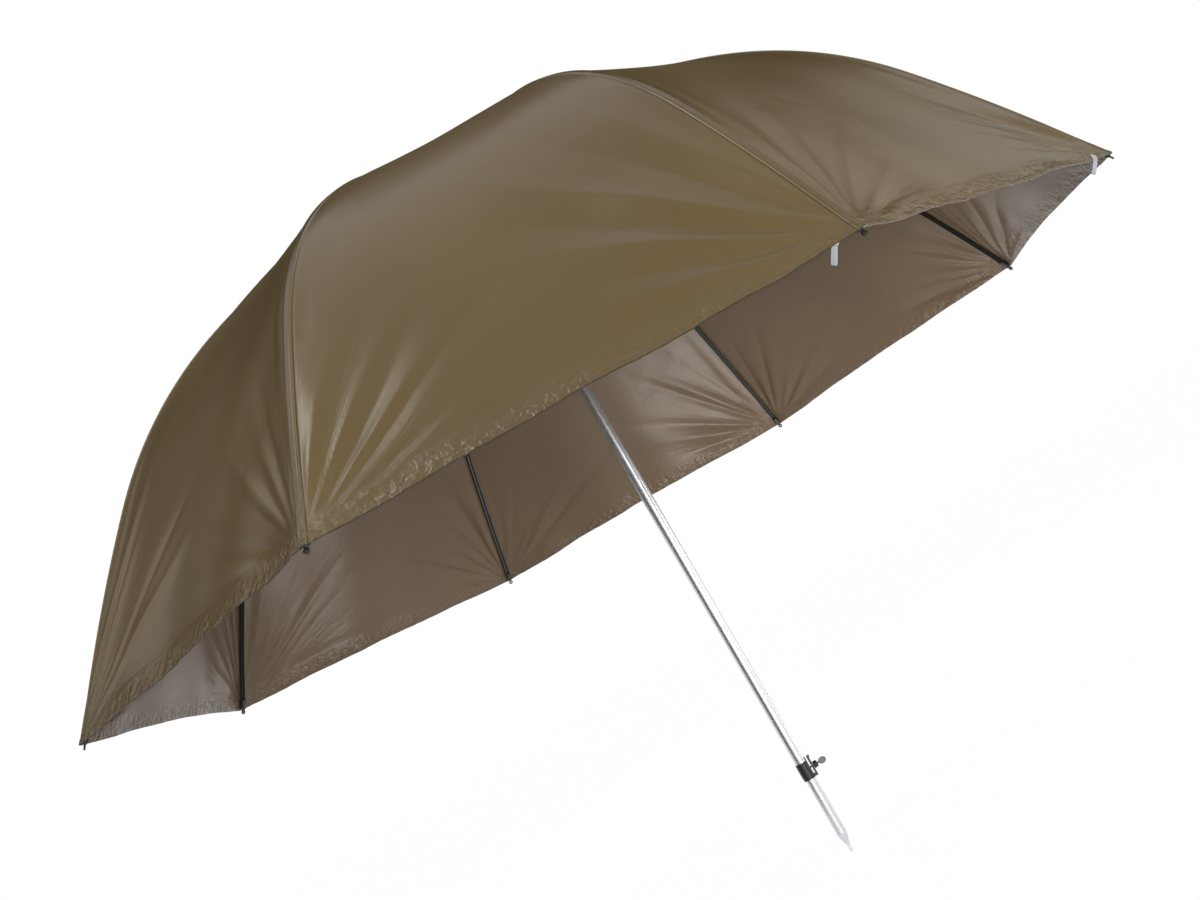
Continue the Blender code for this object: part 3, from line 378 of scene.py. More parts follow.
def tip_fan(away, up, seed):
    """Return the height of the folds that fan out from one rib's tip."""
    distance = np.hypot(away, up) + NEVER_ZERO
    angle = np.arctan2(away, up)
    total = np.zeros_like(distance)
    for middle, width, height, reach, bend in tip_rays(seed):
        turn = bend * distance * (1 - distance / BEND_REACH)
        offset = (angle - middle - turn) * distance
        spread = FOLD_FOOT + width * distance
        swell = fade(distance, *FOLD_RISE) * (1 - fade(distance, reach * FOLD_HOLD_SHARE, reach))
        crest = ROUND_SHARE * bell(offset, spread)
        crest += SHARP_SHARE * np.exp(-SHARPNESS * np.abs(offset) / spread)
        highest = FOLD_STEEPEST * spread
        total += np.clip(height, -highest, highest) * swell * crest
    return total


def waves(kind, spots, seed):
    """Return one kind of waves from -1 to 1 at spots on the cloth."""
    own_seed, *axes = WAVES[kind]
    x, y = (sum(spots[measure] * rate for measure, rate in rates.items()) for rates in axes)
    return noise(x, y, seed + own_seed)


def wrinkles(gore, across, length, width, hem):
    """Return how far the cloth of one gore stands out from its smooth form."""
    seed = gore * SEEDS_PER_GORE
    up = hem - length
    left = across * width
    right = (1 - across) * width
    inner = np.minimum(left, right)
    spots = {"left": left, "inner": inner, "length": length, "up": up}
    total = tip_fan(left, up, seed + LEFT_TIP_SEED) + tip_fan(right, up, seed + RIGHT_TIP_SEED)
    total += DRAPE_HEIGHT * waves("drape", spots, seed) * fade(inner, *DRAPE_FADE)
    total += SLANT_HEIGHT * waves("slant", spots, seed) * fade(inner, *SLANT_FADE)
    beside = bell(inner - RIB_PUCKER_PLACE, RIB_PUCKER_SPREAD)
    total += RIB_PUCKER_HEIGHT * beside * waves("rib_pucker", spots, seed)
    total += HEM_PUCKER_HEIGHT * waves("hem_pucker", spots, seed) * bell(up, HEM_PUCKER_SPREAD)
    wave = PALE_WAVE_HEIGHT if gore == PALE_GORE else HEM_WAVE_HEIGHT
    wave = wave * waves("hem_wave", spots, seed) * bell(up, HEM_WAVE_SPREAD)
    total += wave * fade(inner, *HEM_WAVE_FADE)
    near_tip = (1 - fade(up, *TIP_UP)) * (1 - fade(inner, *TIP_ASIDE))
    total = np.where(total < 0, total * (1 - near_tip), total)
    return total * fade(inner, *RIB_FADE) * fade(length, *CROWN_FADE)


def column_runs(half):
    """Return the distance from the rib to each column, where half is the leaf's half width."""
    count = len(BESIDE)
    near_half, far_half = half[:count], half[count:]
    near = np.array(BESIDE)[:, None] * np.minimum(1, near_half * BESIDE_SHARE / BESIDE[-1])
    start = BESIDE[-1] * np.minimum(1, far_half * BESIDE_SHARE / BESIDE[-1])
    far = np.linspace(0, 1, COLUMNS - count + 1)[1:, None] ** COLUMN_POWER
    return np.concatenate([near, start + (far_half - start) * far])


def smooth_gore(index, side, run, share):
    """Return the points of half a gore, their distance up from the hem and its half width.

    run is the distance from the rib, and share goes from 0 at the crown to 1 at the hem.
    """
    hem_at_rib = RIB_LENGTH - HEM_SET
    first = LEAF_START - PIVOT_RADIUS
    across = np.zeros_like(share)
    for _ in range(FORM_PASSES):
        hem = hem_at_rib - HEM_SCALLOP * np.sin(math.pi / 2 * across)
        length = first + (hem - first) * share
        reach, height, slope = on_rib(np.maximum(length, 0))
        lift = HEM_LIFT * np.maximum(1 - (hem_at_rib - length) / HEM_LIFT_RUN, 0)
        seat = CLOTH_SEAT + lift
        radius = PIVOT_RADIUS + reach + seat * np.sin(slope)
        half = radius * math.sin(HALF_GORE)
        across = np.clip(run / half, 0, 1)
    z = CROWN_Z + height + seat * np.cos(slope)
    flat = np.minimum(RIB_WIDTH / 2 + LEAF_EASE, half * FLAT_SHARE)
    ridge = np.minimum(run, flat)
    part = np.clip(np.maximum(run - flat, 0) / (half - flat), 0, 1)
    middle = radius * math.cos(HALF_GORE)
    x = radius + (middle * math.cos(HALF_GORE) - radius) * part
    y = ridge + (middle * math.sin(HALF_GORE) - flat) * part
    end = np.maximum(length, 0) / RIB_LENGTH
    sag = LEAF_SAG_SHARE * end * radius * part * (2 - part)
    sag += HEM_FOLD * end ** HEM_FOLD_POWER * np.sin(2 * math.pi * part) ** 2
    gore = index if side > 0 else (index - 1) % RIB_COUNT
    span = across / 2 if side > 0 else 1 - across / 2
    stand = wrinkles(gore, span, length, 2 * half, hem) - sag
    x = x + stand * np.sin(slope) * math.cos(HALF_GORE)
    y = y + stand * np.sin(slope) * math.sin(HALF_GORE)
    z = z + stand * np.cos(slope)
    shrink = (PIVOT_RADIUS + np.minimum(length, 0)) / PIVOT_RADIUS
    x = x * shrink
    y = y * side * shrink
    turn = FIRST_RIB + RIB_PITCH * index
    east = x * math.cos(turn) - y * math.sin(turn)
    north = x * math.sin(turn) + y * math.cos(turn)
    return np.stack([east, north, z], -1), hem - length, half


def seam_profile(run):
    """Return how far the sewn ridge over a rib stands above the cloth."""
    start, end = SEAM_EDGE_SHARES
    rise = SEAM_RISE * (1 - fade(run, SEAM_HALF * start, SEAM_HALF * end))
    return rise - SEAM_GROOVE * bell(run - GROOVE_PLACE, GROOVE_WIDTH)


def share_rows():
    """Return the rows from the crown to the hem, closer together towards the hem."""
    span = RIB_LENGTH + PIVOT_RADIUS
    low = 1 - LINE_OVER_HEM / span
    end = 1 - HEM_ROWS_WIDTHS * HEM_WIDTH / span
    above = np.linspace(0, low, ROWS_ABOVE, endpoint=False)
    below = np.linspace(low, end, ROWS_BELOW, endpoint=False)
    return np.concatenate([above, below, np.linspace(end, 1, ROWS_HEM)])


def unit(vectors):
    """Return vectors scaled to a length of 1."""
    return vectors / (np.linalg.norm(vectors, axis=-1, keepdims=True) + NEVER_ZERO_LENGTH)


def half_leaf(index, side):
    """Return the points and facts of one half of a leaf, from its rib to the middle of the gore."""
    share = np.repeat(share_rows()[None, :], COLUMNS, 0)
    half = smooth_gore(index, side, np.zeros_like(share), share)[2]
    for _ in range(FORM_PASSES):
        run = column_runs(half)
        inside, up, half = smooth_gore(index, side, run, share)
    across = 2 * half - run
    return {
        "inside": inside, "hem": up, "seam": run, "half": half,
        "fan_turn": np.arctan2(run, up), "fan_out": np.hypot(run, up),
        "far_turn": np.arctan2(across, up), "far_out": np.hypot(across, up),
    }


def grid_normals(grid, before, after):
    """Return the upward normals of a grid of points between the columns before and after it."""
    wide = np.concatenate([before[None], grid, after[None]])
    across = wide[2:] - wide[:-2]
    first = grid[:, 1:2] - grid[:, :1]
    last = grid[:, -1:] - grid[:, -2:-1]
    down = np.concatenate([first, grid[:, 2:] - grid[:, :-2], last], 1)
    normal = unit(np.cross(down, across))
    outward = unit(grid - np.array(UNDER_CANOPY))
    return normal * np.where((normal * outward).sum(-1, keepdims=True) < 0, -1, 1)


def raised(points, normal, seam, up, half):
    """Return the outer face: the cloth's thickness, the ridge over the rib and the doubled hem."""
    ridge = seam_profile(seam) * fade(half, *SEAM_START)
    hem = HEM_DOUBLE * (1 - fade(up, HEM_WIDTH - HEM_STEP, HEM_WIDTH))
    rise = CLOTH + np.maximum(ridge, -GROOVE_DEPTH_SHARE * CLOTH) + hem
    return points + normal * rise[..., None]


def leaf_facts(halves, index):
    """Return the points, normals and facts of a whole leaf, from one mid-gore to the other."""
    left, right = halves[index, -1], halves[index, 1]
    facts = {key: np.concatenate([left[key][:0:-1], right[key]]) for key in left}
    before = halves[(index - 1) % RIB_COUNT, 1]["inside"][-2]
    after = halves[(index + 1) % RIB_COUNT, -1]["inside"][-2]
    under = grid_normals(facts["inside"], before, after)
    outside = raised(facts["inside"], under, facts["seam"], facts["hem"], facts["half"])
    shift = outside - facts["inside"]
    over = grid_normals(outside, before + shift[0], after + shift[-1])
    return facts | {"under": under, "outside": outside, "over": over}


def new_piece(name, verts, faces):
    """Make a smooth piece from points and faces."""
    mesh = bpy.data.meshes.new(name)
    mesh.from_pydata(verts, [], faces)
    mesh.update()
    mesh.shade_smooth()
    piece = bpy.data.objects.new(name, mesh)
    bpy.context.scene.collection.objects.link(piece)
    return piece


def make_leaf(halves, index):
    """Make one leaf of the canopy, both faces and its edges, and return it with its area."""
    leaf = leaf_facts(halves, index)
    n_cols, n_rows = leaf["hem"].shape
    verts = np.concatenate([leaf["outside"].reshape(-1, 3), leaf["inside"].reshape(-1, 3)])
    number = np.arange(n_cols * n_rows).reshape(n_cols, n_rows)
    a, b = number[:-1, :-1].ravel(), number[1:, :-1].ravel()
    c, d = number[1:, 1:].ravel(), number[:-1, 1:].ravel()
    top = np.stack([a, d, c, b], -1)
    bottom = np.stack([a, b, c, d], -1) + number.size
    rim = np.concatenate([number[:, 0], number[-1, 1:], number[-2::-1, -1], number[0, -2:0:-1]])
    after = np.roll(rim, -1)
    wall = np.stack([rim, after, after + number.size, rim + number.size], -1)
    faces = np.concatenate([top, bottom, wall])
    piece = new_piece(f"canopy_{index + 1}", verts.tolist(), faces.tolist())
    mesh = piece.data
    gore = np.where(rim // n_rows >= n_cols // 2, index, (index - 1) % RIB_COUNT)
    on_hem = (rim % n_rows == n_rows - 1) & (after % n_rows == n_rows - 1)
    binding = np.where(gore == PALE_GORE, PALE_BINDING, BINDING)
    slots = [np.full(len(top), OUTSIDE), np.full(len(bottom), INSIDE),
             np.where(on_hem, binding, OUTSIDE)]
    mesh.polygons.foreach_set("material_index", np.concatenate(slots).astype(np.int32))
    for name in FACTS:
        layer = mesh.attributes.new(name, "FLOAT", "POINT")
        values = np.concatenate([leaf[name].ravel()] * 2)
        layer.data.foreach_set("value", values.astype(np.float32))
    normals = np.concatenate([leaf["over"].reshape(-1, 3), -leaf["under"].reshape(-1, 3)])
    mesh.normals_split_custom_set_from_vertices(normals.tolist())
    grid = leaf["inside"]
    crossed = np.cross(grid[1:, 1:] - grid[:-1, :-1], grid[1:, :-1] - grid[:-1, 1:])
    return piece, float(np.linalg.norm(crossed, axis=-1).sum() / 2)


def nodes_of(name):
    """Return a new material with its node tree and shader."""
    surface = bpy.data.materials.new(name)
    surface.use_nodes = True
    tree = surface.node_tree
    return surface, tree, tree.nodes["Principled BSDF"]


def add(tree, kind, **values):
    """Add a node, where in_ starts the name or number of an input and the rest are settings."""
    node = tree.nodes.new(kind)
    for key, value in values.items():
        if key.startswith("in_"):
            name = key.removeprefix("in_")
            node.inputs[int(name) if name.isdigit() else name].default_value = value
        else:
            setattr(node, key, value)
    return node


def object_place(tree):
    """Return a socket with the place on the object."""
    return add(tree, "ShaderNodeTexCoord").outputs["Object"]


def texture(tree, kind, place, **values):
    """Return the value of a texture at a place."""
    node = add(tree, kind, **values)
    tree.links.new(place, node.inputs["Vector"])
    return node.outputs["Fac"]


def grey(value):
    """Return a grey of a value."""
    return value, value, value


def scaled(colour, factor):
    """Return a colour times a factor."""
    return tuple(channel * factor for channel in colour)


def ramp(tree, source, ends, low, high):
    """Add a colour ramp that eases from one colour to another between two values."""
    node = tree.nodes.new("ShaderNodeValToRGB")
    node.color_ramp.interpolation = "EASE"
    for number, (position, colour) in enumerate(zip(ends, (low, high))):
        element = node.color_ramp.elements[number]
        element.position = position
        element.color = (*colour, 1)
    tree.links.new(source, node.inputs[0])
    return node.outputs[0]


def falling(tree, source, start, end):
    """Return a socket that falls evenly from 1 at start to 0 at end."""
    node = add(tree, "ShaderNodeMapRange", in_1=start, in_2=end, in_3=1.0, in_4=0.0)
    tree.links.new(source, node.inputs[0])
    return node.outputs[0]


def rising(tree, source, start, end):
    """Return a socket that rises smoothly from 0 at start to 1 at end."""
    node = add(tree, "ShaderNodeMapRange", in_1=start, in_2=end, in_3=0.0, in_4=1.0,
               interpolation_type="SMOOTHSTEP")
    tree.links.new(source, node.inputs[0])
    return node.outputs[0]


def maths(tree, operation, first, second=0.0):
    """Add a maths node whose inputs are sockets or numbers."""
    node = tree.nodes.new("ShaderNodeMath")
    node.operation = operation
    for socket, value in zip(node.inputs, (first, second)):
        if isinstance(value, (int, float)):
            socket.default_value = value
        else:
            tree.links.new(value, socket)
    return node.outputs[0]


def streaks(tree, turn, out, across, along, detail):
    """Return noise drawn out along the lines that run to a tip."""
    vector = add(tree, "ShaderNodeCombineXYZ")
    tree.links.new(maths(tree, "MULTIPLY", turn, across), vector.inputs[0])
    tree.links.new(maths(tree, "MULTIPLY", out, along), vector.inputs[1])
    return texture(tree, "ShaderNodeTexNoise", vector.outputs[0], in_Detail=detail, **STREAK_NOISE)


def bumped(tree, height, strength, distance, under=None):
    """Add a bump on top of another one."""
    bump = add(tree, "ShaderNodeBump", in_Strength=strength, in_Distance=distance)
    tree.links.new(height, bump.inputs["Height"])
    if under is not None:
        tree.links.new(under, bump.inputs["Normal"])
    return bump.outputs["Normal"]


def band(tree, value, low, high):
    """Return a socket that is 1 between two values and 0 outside."""
    above = maths(tree, "GREATER_THAN", value, low)
    return maths(tree, "MULTIPLY", above, maths(tree, "LESS_THAN", value, high))


def tinted(tree, colour, amount, factor):
    """Multiply a colour by a grey amount where factor is 1."""
    mix = add(tree, "ShaderNodeMix", data_type="RGBA", blend_type="MULTIPLY")
    mix.inputs[MIX_SECOND].default_value = (*grey(amount), 1)
    tree.links.new(factor, mix.inputs[MIX_FACTOR])
    tree.links.new(colour, mix.inputs[MIX_FIRST])
    return mix.outputs[MIX_RESULT]


def cloth_tint(tree, cloud, fact, colour, outside):
    """Return the cloth's colour, with its hem's stitches and edge, and painted shade and highlight
    lines by the seam.
    """
    low, high = (scaled(colour, tint) for tint in CLOUD_TINTS)
    tint = ramp(tree, cloud, CLOUD_ENDS, low, high)
    turns = maths(tree, "MULTIPLY", fact["fan_out"], 2 * math.pi / THREAD_PITCH)
    sewn = maths(tree, "GREATER_THAN", maths(tree, "SINE", turns), THREAD_GAP)
    thread = maths(tree, "MULTIPLY", band(tree, fact["hem"], *THREAD_LINE), sewn)
    tint = tinted(tree, tint, THREAD_TINT, thread)
    tint = tinted(tree, tint, HEM_EDGE_TINT, band(tree, fact["hem"], *HEM_EDGE))
    # Lines by the rib: painted shade, and outside also a painted highlight on the ridge's edge
    for amount, start, end in OUTSIDE_SEAM_SHADE_AND_HIGHLIGHT if outside else INSIDE_RIB_SHADE:
        tint = tinted(tree, tint, amount, band(tree, fact["seam"], start, end))
    return tint


def cloth_relief(tree, place, fact):
    """Return the cloth's normal: creases that run to the tips, crumples, gathers and weave."""
    near = streaks(tree, fact["fan_turn"], fact["fan_out"], *STREAKS)
    far = streaks(tree, fact["far_turn"], fact["far_out"], *STREAKS)
    fine = streaks(tree, fact["fan_turn"], fact["fan_out"], *FINE_STREAKS)
    crumple = texture(tree, "ShaderNodeTexNoise", place, **CRUMPLE_NOISE)
    patch = texture(tree, "ShaderNodeTexNoise", place, **PATCH_NOISE)
    gather = texture(tree, "ShaderNodeTexNoise", place, **GATHER_NOISE)
    weave = texture(tree, "ShaderNodeTexNoise", place, **WEAVE_NOISE)
    where = ramp(tree, patch, PATCH_ENDS, grey(0), grey(1))
    own = rising(tree, maths(tree, "SUBTRACT", fact["far_out"], fact["fan_out"]), *OWN_HALF)
    shown = maths(tree, "MULTIPLY", falling(tree, fact["fan_out"], *CLOSE_TO_TIP), own)
    beside = falling(tree, fact["hem"], *CLOSE_TO_HEM)
    normal = bumped(tree, maths(tree, "MULTIPLY", near, shown), *NEAR_BUMP)
    normal = bumped(tree, maths(tree, "MULTIPLY", far, own), *FAR_BUMP, normal)
    normal = bumped(tree, maths(tree, "MULTIPLY", fine, shown), *FINE_BUMP, normal)
    normal = bumped(tree, maths(tree, "MULTIPLY", crumple, where), *PATCH_BUMP, normal)
    normal = bumped(tree, crumple, *CRUMPLE_BUMP, normal)
    normal = bumped(tree, maths(tree, "MULTIPLY", gather, beside), *GATHER_BUMP, normal)
    return bumped(tree, weave, *WEAVE_BUMP, normal)


def cloth_material(name, colour, roughness, gloss, specular, outside):
    """Coated nylon with a tinted gloss."""
    surface, tree, shader = nodes_of(name)
    place = object_place(tree)
    fact = {key: add(tree, "ShaderNodeAttribute", attribute_name=key).outputs["Fac"]
            for key in FACTS}
    cloud = texture(tree, "ShaderNodeTexNoise", place, **CLOUD_NOISE)
    low, high = grey(roughness - CLOUD_SMOOTHER), grey(roughness + CLOUD_ROUGHER)
    rough = ramp(tree, cloud, CLOUD_ENDS, low, high)
    tint = cloth_tint(tree, cloud, fact, colour, outside)
    tree.links.new(tint, shader.inputs["Base Color"])
    tree.links.new(rough, shader.inputs["Roughness"])
    tree.links.new(cloth_relief(tree, place, fact), shader.inputs["Normal"])
    shader.inputs["Specular IOR Level"].default_value = specular
    shader.inputs["Specular Tint"].default_value = (*gloss, 1)
    return surface


def grained(tree, shader, grain, colour, roughness, bump):
    """Let a grain roughen and raise a surface, and give it its colour."""
    rough = ramp(tree, grain, ROUGH_ENDS, *map(grey, roughness))
    tree.links.new(colour, shader.inputs["Base Color"])
    tree.links.new(rough, shader.inputs["Roughness"])
    tree.links.new(bumped(tree, grain, *bump), shader.inputs["Normal"])


def metal_material(name, colour, roughness, scale, streak=1.0, metallic=1.0):
    """Drawn or plated metal, with marks drawn out along it where streak is under 1."""
    surface, tree, shader = nodes_of(name)
    size = add(tree, "ShaderNodeMapping")
    size.inputs["Scale"].default_value = (scale, scale, scale * streak)
    tree.links.new(object_place(tree), size.inputs["Vector"])
    marks = texture(tree, "ShaderNodeTexNoise", size.outputs["Vector"],
                    in_Scale=1.0, in_Detail=MARKS_DETAIL)
    shade = ramp(tree, marks, METAL_ENDS, scaled(colour, METAL_DARK), colour)
    rough = (roughness, roughness + METAL_ROUGHER)
    grained(tree, shader, marks, shade, rough, METAL_BUMP)
    shader.inputs["Metallic"].default_value = metallic
    return surface


def plain_material(name, colour, roughness, scale, strength):
    """Moulded plastic, paint or thread with a fine grain."""
    surface, tree, shader = nodes_of(name)
    grain = texture(tree, "ShaderNodeTexNoise", object_place(tree),
                    in_Scale=scale, in_Detail=GRAIN_DETAIL)
    light = tuple(min(channel * GRAIN_LIGHT + GRAIN_LIFT, 1) for channel in colour)
    shade = ramp(tree, grain, GRAIN_ENDS, colour, light)
    rough = (roughness, roughness + GRAIN_ROUGHER)
    grained(tree, shader, grain, shade, rough, (strength, GRAIN_DISTANCE))
    return surface


def webbing_material(name, colour):
    """Woven tape with a diagonal rib."""
    surface, tree, shader = nodes_of(name)
    wave = texture(tree, "ShaderNodeTexWave", object_place(tree),
                   bands_direction="DIAGONAL", **WEBBING_WAVE)
    shade = ramp(tree, wave, WEBBING_ENDS, scaled(colour, WEBBING_DARK), colour)
    tree.links.new(shade, shader.inputs["Base Color"])
    tree.links.new(bumped(tree, wave, *WEBBING_BUMP), shader.inputs["Normal"])
    shader.inputs["Roughness"].default_value = WEBBING_ROUGHNESS
    shader.inputs["Sheen Weight"].default_value = WEBBING_SHEEN
    return surface


def paint_nodes():
    """Give every CAD node its material, by the start of its name."""
    tube = metal_material("drawn_aluminium", colour=(0.78, 0.80, 0.83), roughness=0.25,
                          scale=160.0, streak=0.004, metallic=0.75)
    cast = metal_material("cast_aluminium", colour=(0.60, 0.61, 0.62), roughness=0.42,
                          scale=500.0)
    steel = metal_material("plated_steel", colour=(0.11, 0.115, 0.12), roughness=0.42,
                           scale=700.0)
    plastic = plain_material("black_plastic", colour=(0.012, 0.012, 0.013), roughness=0.34,
                             scale=1800.0, strength=0.10)
    paint = plain_material("rib_paint", colour=(0.018, 0.024, 0.020), roughness=0.36,
                           scale=900.0, strength=0.06)
    tape = webbing_material("pale_webbing", colour=(0.78, 0.80, 0.82))
    finishes = {
        "spike_point": tube, "inner_tube": tube, "pole": tube, "tube_guide": plastic,
        "clamp_collar": plastic, "clamp_nut": plastic, "thumb_screw": steel,
        "crown_hub": cast, "crown_pin": steel, "crown_washer": steel, "crown_cap": plastic,
        "runner_catch": steel, "runner": plastic, "stretcher": paint,
        "rib_wire": steel, "rib_bracket": paint, "rib_tip": plastic, "rib_": paint,
        "guy_loop": tape, "loop_tab": tape, "canopy_leaf": paint,
    }
    for name, item in frame["nodes"].items():
        surface = next(finish for start, finish in finishes.items() if name.startswith(start))
        item.data.materials.clear()
        item.data.materials.append(surface)


def make_canopy():
    """Make the whole canopy, leaf by leaf."""
    outer = cloth_material("olive_nylon", colour=(0.180, 0.123, 0.052), roughness=0.31,
                           gloss=(0.66, 0.58, 0.46), specular=0.5, outside=True)
    inner = cloth_material("coated_nylon", colour=(0.178, 0.120, 0.070), roughness=0.28,
                           gloss=(0.80, 0.78, 0.75), specular=0.4, outside=False)
    bound = webbing_material("dark_binding", colour=(0.030, 0.024, 0.016))
    cream = webbing_material("cream_binding", colour=(0.62, 0.55, 0.42))
    halves = {(index, side): half_leaf(index, side)
              for index in range(RIB_COUNT) for side in (-1, 1)}
    for index in range(RIB_COUNT):
        leaf, area = make_leaf(halves, index)
        for surface in (outer, inner, bound, cream):
            leaf.data.materials.append(surface)
        number = index + 1
        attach(leaf, f"rib_{number}_arm")
        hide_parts(f"canopy_leaf_{number}")
        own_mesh(leaf)


def hang_frame(node, joint):
    """Return the hinge of a webbing node, axes with X along the node, and its extents in them."""
    pivot = np.array(JOINTS[joint]["pos_m"])
    points = np.array([vertex.co for vertex in frame["nodes"][node].data.vertices])
    side = unit(np.array(JOINTS[joint]["axis"]))
    out = points.mean(0) - pivot
    out = unit(out - side * out.dot(side))
    axes = np.stack([out, side, np.cross(out, side)])
    local = (points - pivot) @ axes.T
    return pivot, axes, local.min(0), local.max(0)


def rounded_section(width, thickness):
    """Return the outline of a tape's cross-section, with soft edges."""
    turn = np.linspace(0, 2 * math.pi, SECTION_SIDES, endpoint=False)
    across = np.sign(np.cos(turn)) * np.abs(np.cos(turn)) ** EDGE_POWER * width / 2
    through = np.sign(np.sin(turn)) * np.abs(np.sin(turn)) ** FACE_POWER * thickness / 2
    return across, through


def tape_piece(name, path, normal, section, closed, place, axes):
    """Sweep a tape's section along a path in the X-Z plane of its frame."""
    across, through = section
    spots = path[:, None, :] + normal[:, None, :] * through[None, :, None]
    spots[..., 1] += across
    count, sides = spots.shape[:2]
    verts = spots.reshape(-1, 3) @ axes + place
    number = np.arange(count * sides).reshape(count, sides)
    if closed:
        number = np.concatenate([number, number[:1]])
    beside = np.roll(number, -1, 1)
    faces = np.stack([number[:-1], number[1:], beside[1:], beside[:-1]], -1)
    faces = faces.reshape(-1, 4).tolist()
    if not closed:
        faces += [number[0].tolist(), number[-1][::-1].tolist()]
    return new_piece(name, verts.tolist(), faces)


def sew(piece, places, place, axes):
    """Add raised stitches to a piece, at places with turns in its frame."""
    shape = bmesh.new()
    shape.from_mesh(piece.data)
    turned = Matrix((axes[0], axes[1], axes[2])).transposed().to_4x4()
    for spot, turn in places:
        local = Matrix.Translation(spot) @ Matrix.Rotation(turn, 4, "Z")
        local = local @ Matrix.Diagonal((*STITCH_SIZE, 1))
        made = bmesh.ops.create_uvsphere(shape, u_segments=STITCH_SEGMENTS,
                                         v_segments=STITCH_RINGS, radius=1)
        matrix = Matrix.Translation(place) @ turned @ local
        bmesh.ops.transform(shape, matrix=matrix, verts=made["verts"])
        for vertex in made["verts"]:
            for face in vertex.link_faces:
                face.material_index = THREAD_SLOT
                face.smooth = True
    shape.to_mesh(piece.data)
    shape.free()


def make_loop(number, tape):
    """Make one webbing loop, narrower towards its seam."""
    place, axes, low, high = hang_frame(f"guy_loop_{number}", f"guy_loop_{number}_swing")
    turn = np.linspace(0, 2 * math.pi, LOOP_STEPS, endpoint=False)
    run = (high[0] - low[0]) / 2 - high[2]
    lean = np.clip(LOOP_STRETCH * np.cos(turn), -1, 1)
    arch = np.stack([np.cos(turn), np.zeros(LOOP_STEPS), np.sin(turn)], -1)
    path = arch * (high[2] - TAPE / 2)
    path[:, 0] += (low[0] + high[0]) / 2 + run * lean
    path[:, 2] *= LOOP_OPENING[0] + LOOP_OPENING[1] * lean
    section = rounded_section(high[1] - low[1], TAPE)
    loop = tape_piece(f"webbing_loop_{number}", path, arch, section, True, place, axes)
    loop.data.materials.append(tape)
    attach(loop, f"loop_{number}")
    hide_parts(f"guy_loop_{number}")


def make_tab(number, rib, tape, thread):
    """Make the stitched tab that holds a webbing loop on its rib."""
    place, axes, low, high = hang_frame(f"loop_tab_{number}", f"guy_loop_{number}_swing")
    along = np.linspace(low[0], high[0], TAB_STEPS)
    middle = np.full(TAB_STEPS, (low[2] + high[2]) / 2)
    path = np.stack([along, np.zeros(TAB_STEPS), middle], -1)
    normal = np.tile((0.0, 0.0, 1.0), (TAB_STEPS, 1))
    section = rounded_section(high[1] - low[1], high[2] - low[2])
    tab = tape_piece(f"webbing_tab_{number}", path, normal, section, False, place, axes)
    tab.data.materials.append(tape)
    tab.data.materials.append(thread)
    left, right = low[0] + STITCH_INSET, high[0] - STITCH_INSET
    reach = high[1] - STITCH_INSET
    for face in (low[2], high[2]):
        rows = [((x, side * reach, face), 0)
                for x in np.arange(left, right, STITCH_PITCH) for side in (-1, 1)]
        rows += [((x, y, face), math.pi / 2)
                 for y in np.arange(-reach, reach, STITCH_PITCH) for x in (left, right)]
        sew(tab, rows, place, axes)
    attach(tab, f"rib_{rib}_arm")
    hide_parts(f"loop_tab_{number}")


def make_webbing():
    """Make both webbing loops and their tabs."""
    tape = webbing_material("pale_tape", colour=(0.70, 0.74, 0.78))
    thread = plain_material("pale_thread", colour=(0.60, 0.62, 0.64), roughness=0.5,
                            scale=900.0, strength=0.2)
    for number, rib in LOOP_RIBS.items():
        make_loop(number, tape)
        make_tab(number, rib, tape, thread)


def make_camera():
    """Place the camera that was fitted to the photograph."""
    data = bpy.data.cameras.new("camera")
    data.lens = CAMERA_LENS_MM
    data.sensor_width = CAMERA_SENSOR_MM
    data.shift_x, data.shift_y = CAMERA_SHIFT
    camera = bpy.data.objects.new("camera", data)
    axes = (Vector(CAMERA_RIGHT), -Vector(CAMERA_DOWN), -Vector(CAMERA_AHEAD))
    turn = Matrix(axes).transposed().to_4x4()
    camera.matrix_world = Matrix.Translation(CAMERA_PLACE) @ turn
    bpy.context.scene.collection.objects.link(camera)
    bpy.context.scene.camera = camera


def white_rays(tree):
    """Return a socket that is 1 for camera, glossy and transmission rays."""
    path = add(tree, "ShaderNodeLightPath")
    seen = maths(tree, "MAXIMUM", path.outputs["Is Camera Ray"], path.outputs["Is Glossy Ray"])
    return maths(tree, "MAXIMUM", seen, path.outputs["Is Transmission Ray"])


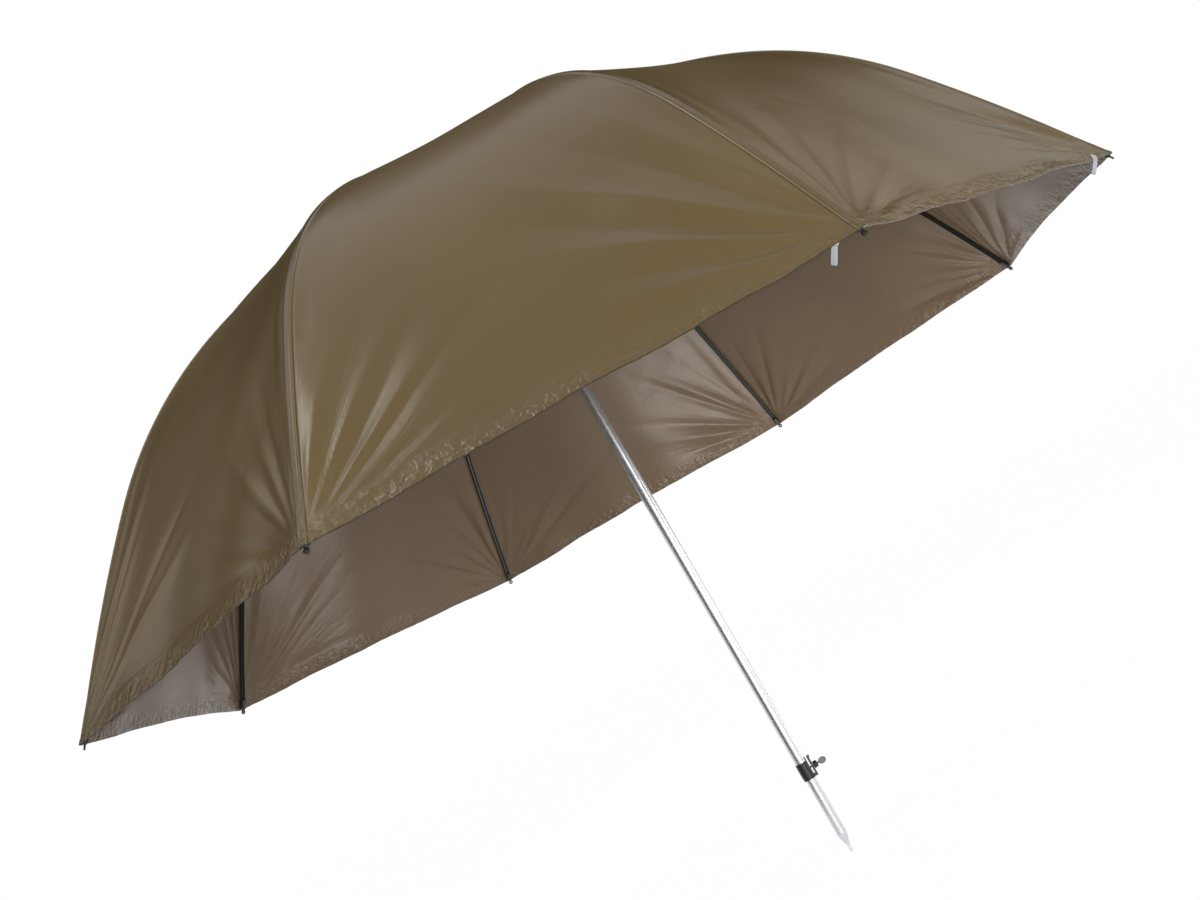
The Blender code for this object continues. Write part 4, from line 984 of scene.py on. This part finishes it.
def make_floor():
    """Make a pale floor that looks white and keeps the umbrella's shadow."""
    bpy.ops.mesh.primitive_plane_add(size=FLOOR_SIZE, location=(0, 0, -FLOOR_DROP))
    floor = bpy.context.object
    floor.name = "floor"
    surface, tree, shader = nodes_of("pale_floor")
    shader.inputs["Base Color"].default_value = (*grey(FLOOR_GREY), 1)
    shader.inputs["Roughness"].default_value = FLOOR_ROUGHNESS
    shader.inputs["Specular IOR Level"].default_value = FLOOR_SPECULAR
    glow = add(tree, "ShaderNodeEmission", in_Strength=FLOOR_GLOW, in_Color=(1, 1, 1, 1))
    mix = add(tree, "ShaderNodeMixShader")
    share = maths(tree, "MULTIPLY", white_rays(tree), FLOOR_GLOW_SHARE)
    for socket, source in zip(mix.inputs, (share, shader.outputs[0], glow.outputs[0])):
        tree.links.new(source, socket)
    tree.links.new(mix.outputs[0], tree.nodes["Material Output"].inputs["Surface"])
    floor.data.materials.append(surface)


def make_world():
    """Light the studio evenly and show it white."""
    world = bpy.data.worlds.new("studio")
    bpy.context.scene.world = world
    world.use_nodes = True
    tree = world.node_tree
    back = tree.nodes["Background"]
    back.inputs["Color"].default_value = (1, 1, 1, 1)
    level = maths(tree, "MULTIPLY", white_rays(tree), 1 - AMBIENT)
    tree.links.new(maths(tree, "ADD", level, AMBIENT), back.inputs["Strength"])


def area_light(name, place, aim, size, power):
    """Add one soft studio light."""
    data = bpy.data.lights.new(name, "AREA")
    data.shape = "RECTANGLE"
    data.size, data.size_y = size
    data.energy = power
    lamp = bpy.data.objects.new(name, data)
    lamp.location = place
    lamp.rotation_euler = (Vector(aim) - Vector(place)).to_track_quat("-Z", "Y").to_euler()
    lamp.visible_camera = False
    bpy.context.scene.collection.objects.link(lamp)


def make_flag(name, place, size, degrees):
    """Stand a dark card in the studio, seen only in gloss, as a photographer's flag."""
    turn = (math.radians(90), 0, math.radians(degrees))
    bpy.ops.mesh.primitive_plane_add(size=1, location=place, rotation=turn)
    card = bpy.context.object
    card.name = name
    card.scale = (*size, 1)
    surface, _, shader = nodes_of(name)
    shader.inputs["Base Color"].default_value = (*grey(FLAG_GREY), 1)
    shader.inputs["Roughness"].default_value = 1.0
    shader.inputs["Specular IOR Level"].default_value = 0.0
    card.data.materials.append(surface)
    card.visible_camera = False
    card.visible_diffuse = False
    card.visible_shadow = False
    card.visible_transmission = False


make_camera()
make_world()
for lamp in LAMPS:
    area_light(*lamp)
make_floor()
for flag in FLAGS:
    make_flag(*flag)
paint_nodes()
make_canopy()
make_webbing()
bpy.context.scene.view_settings.view_transform = "Standard"
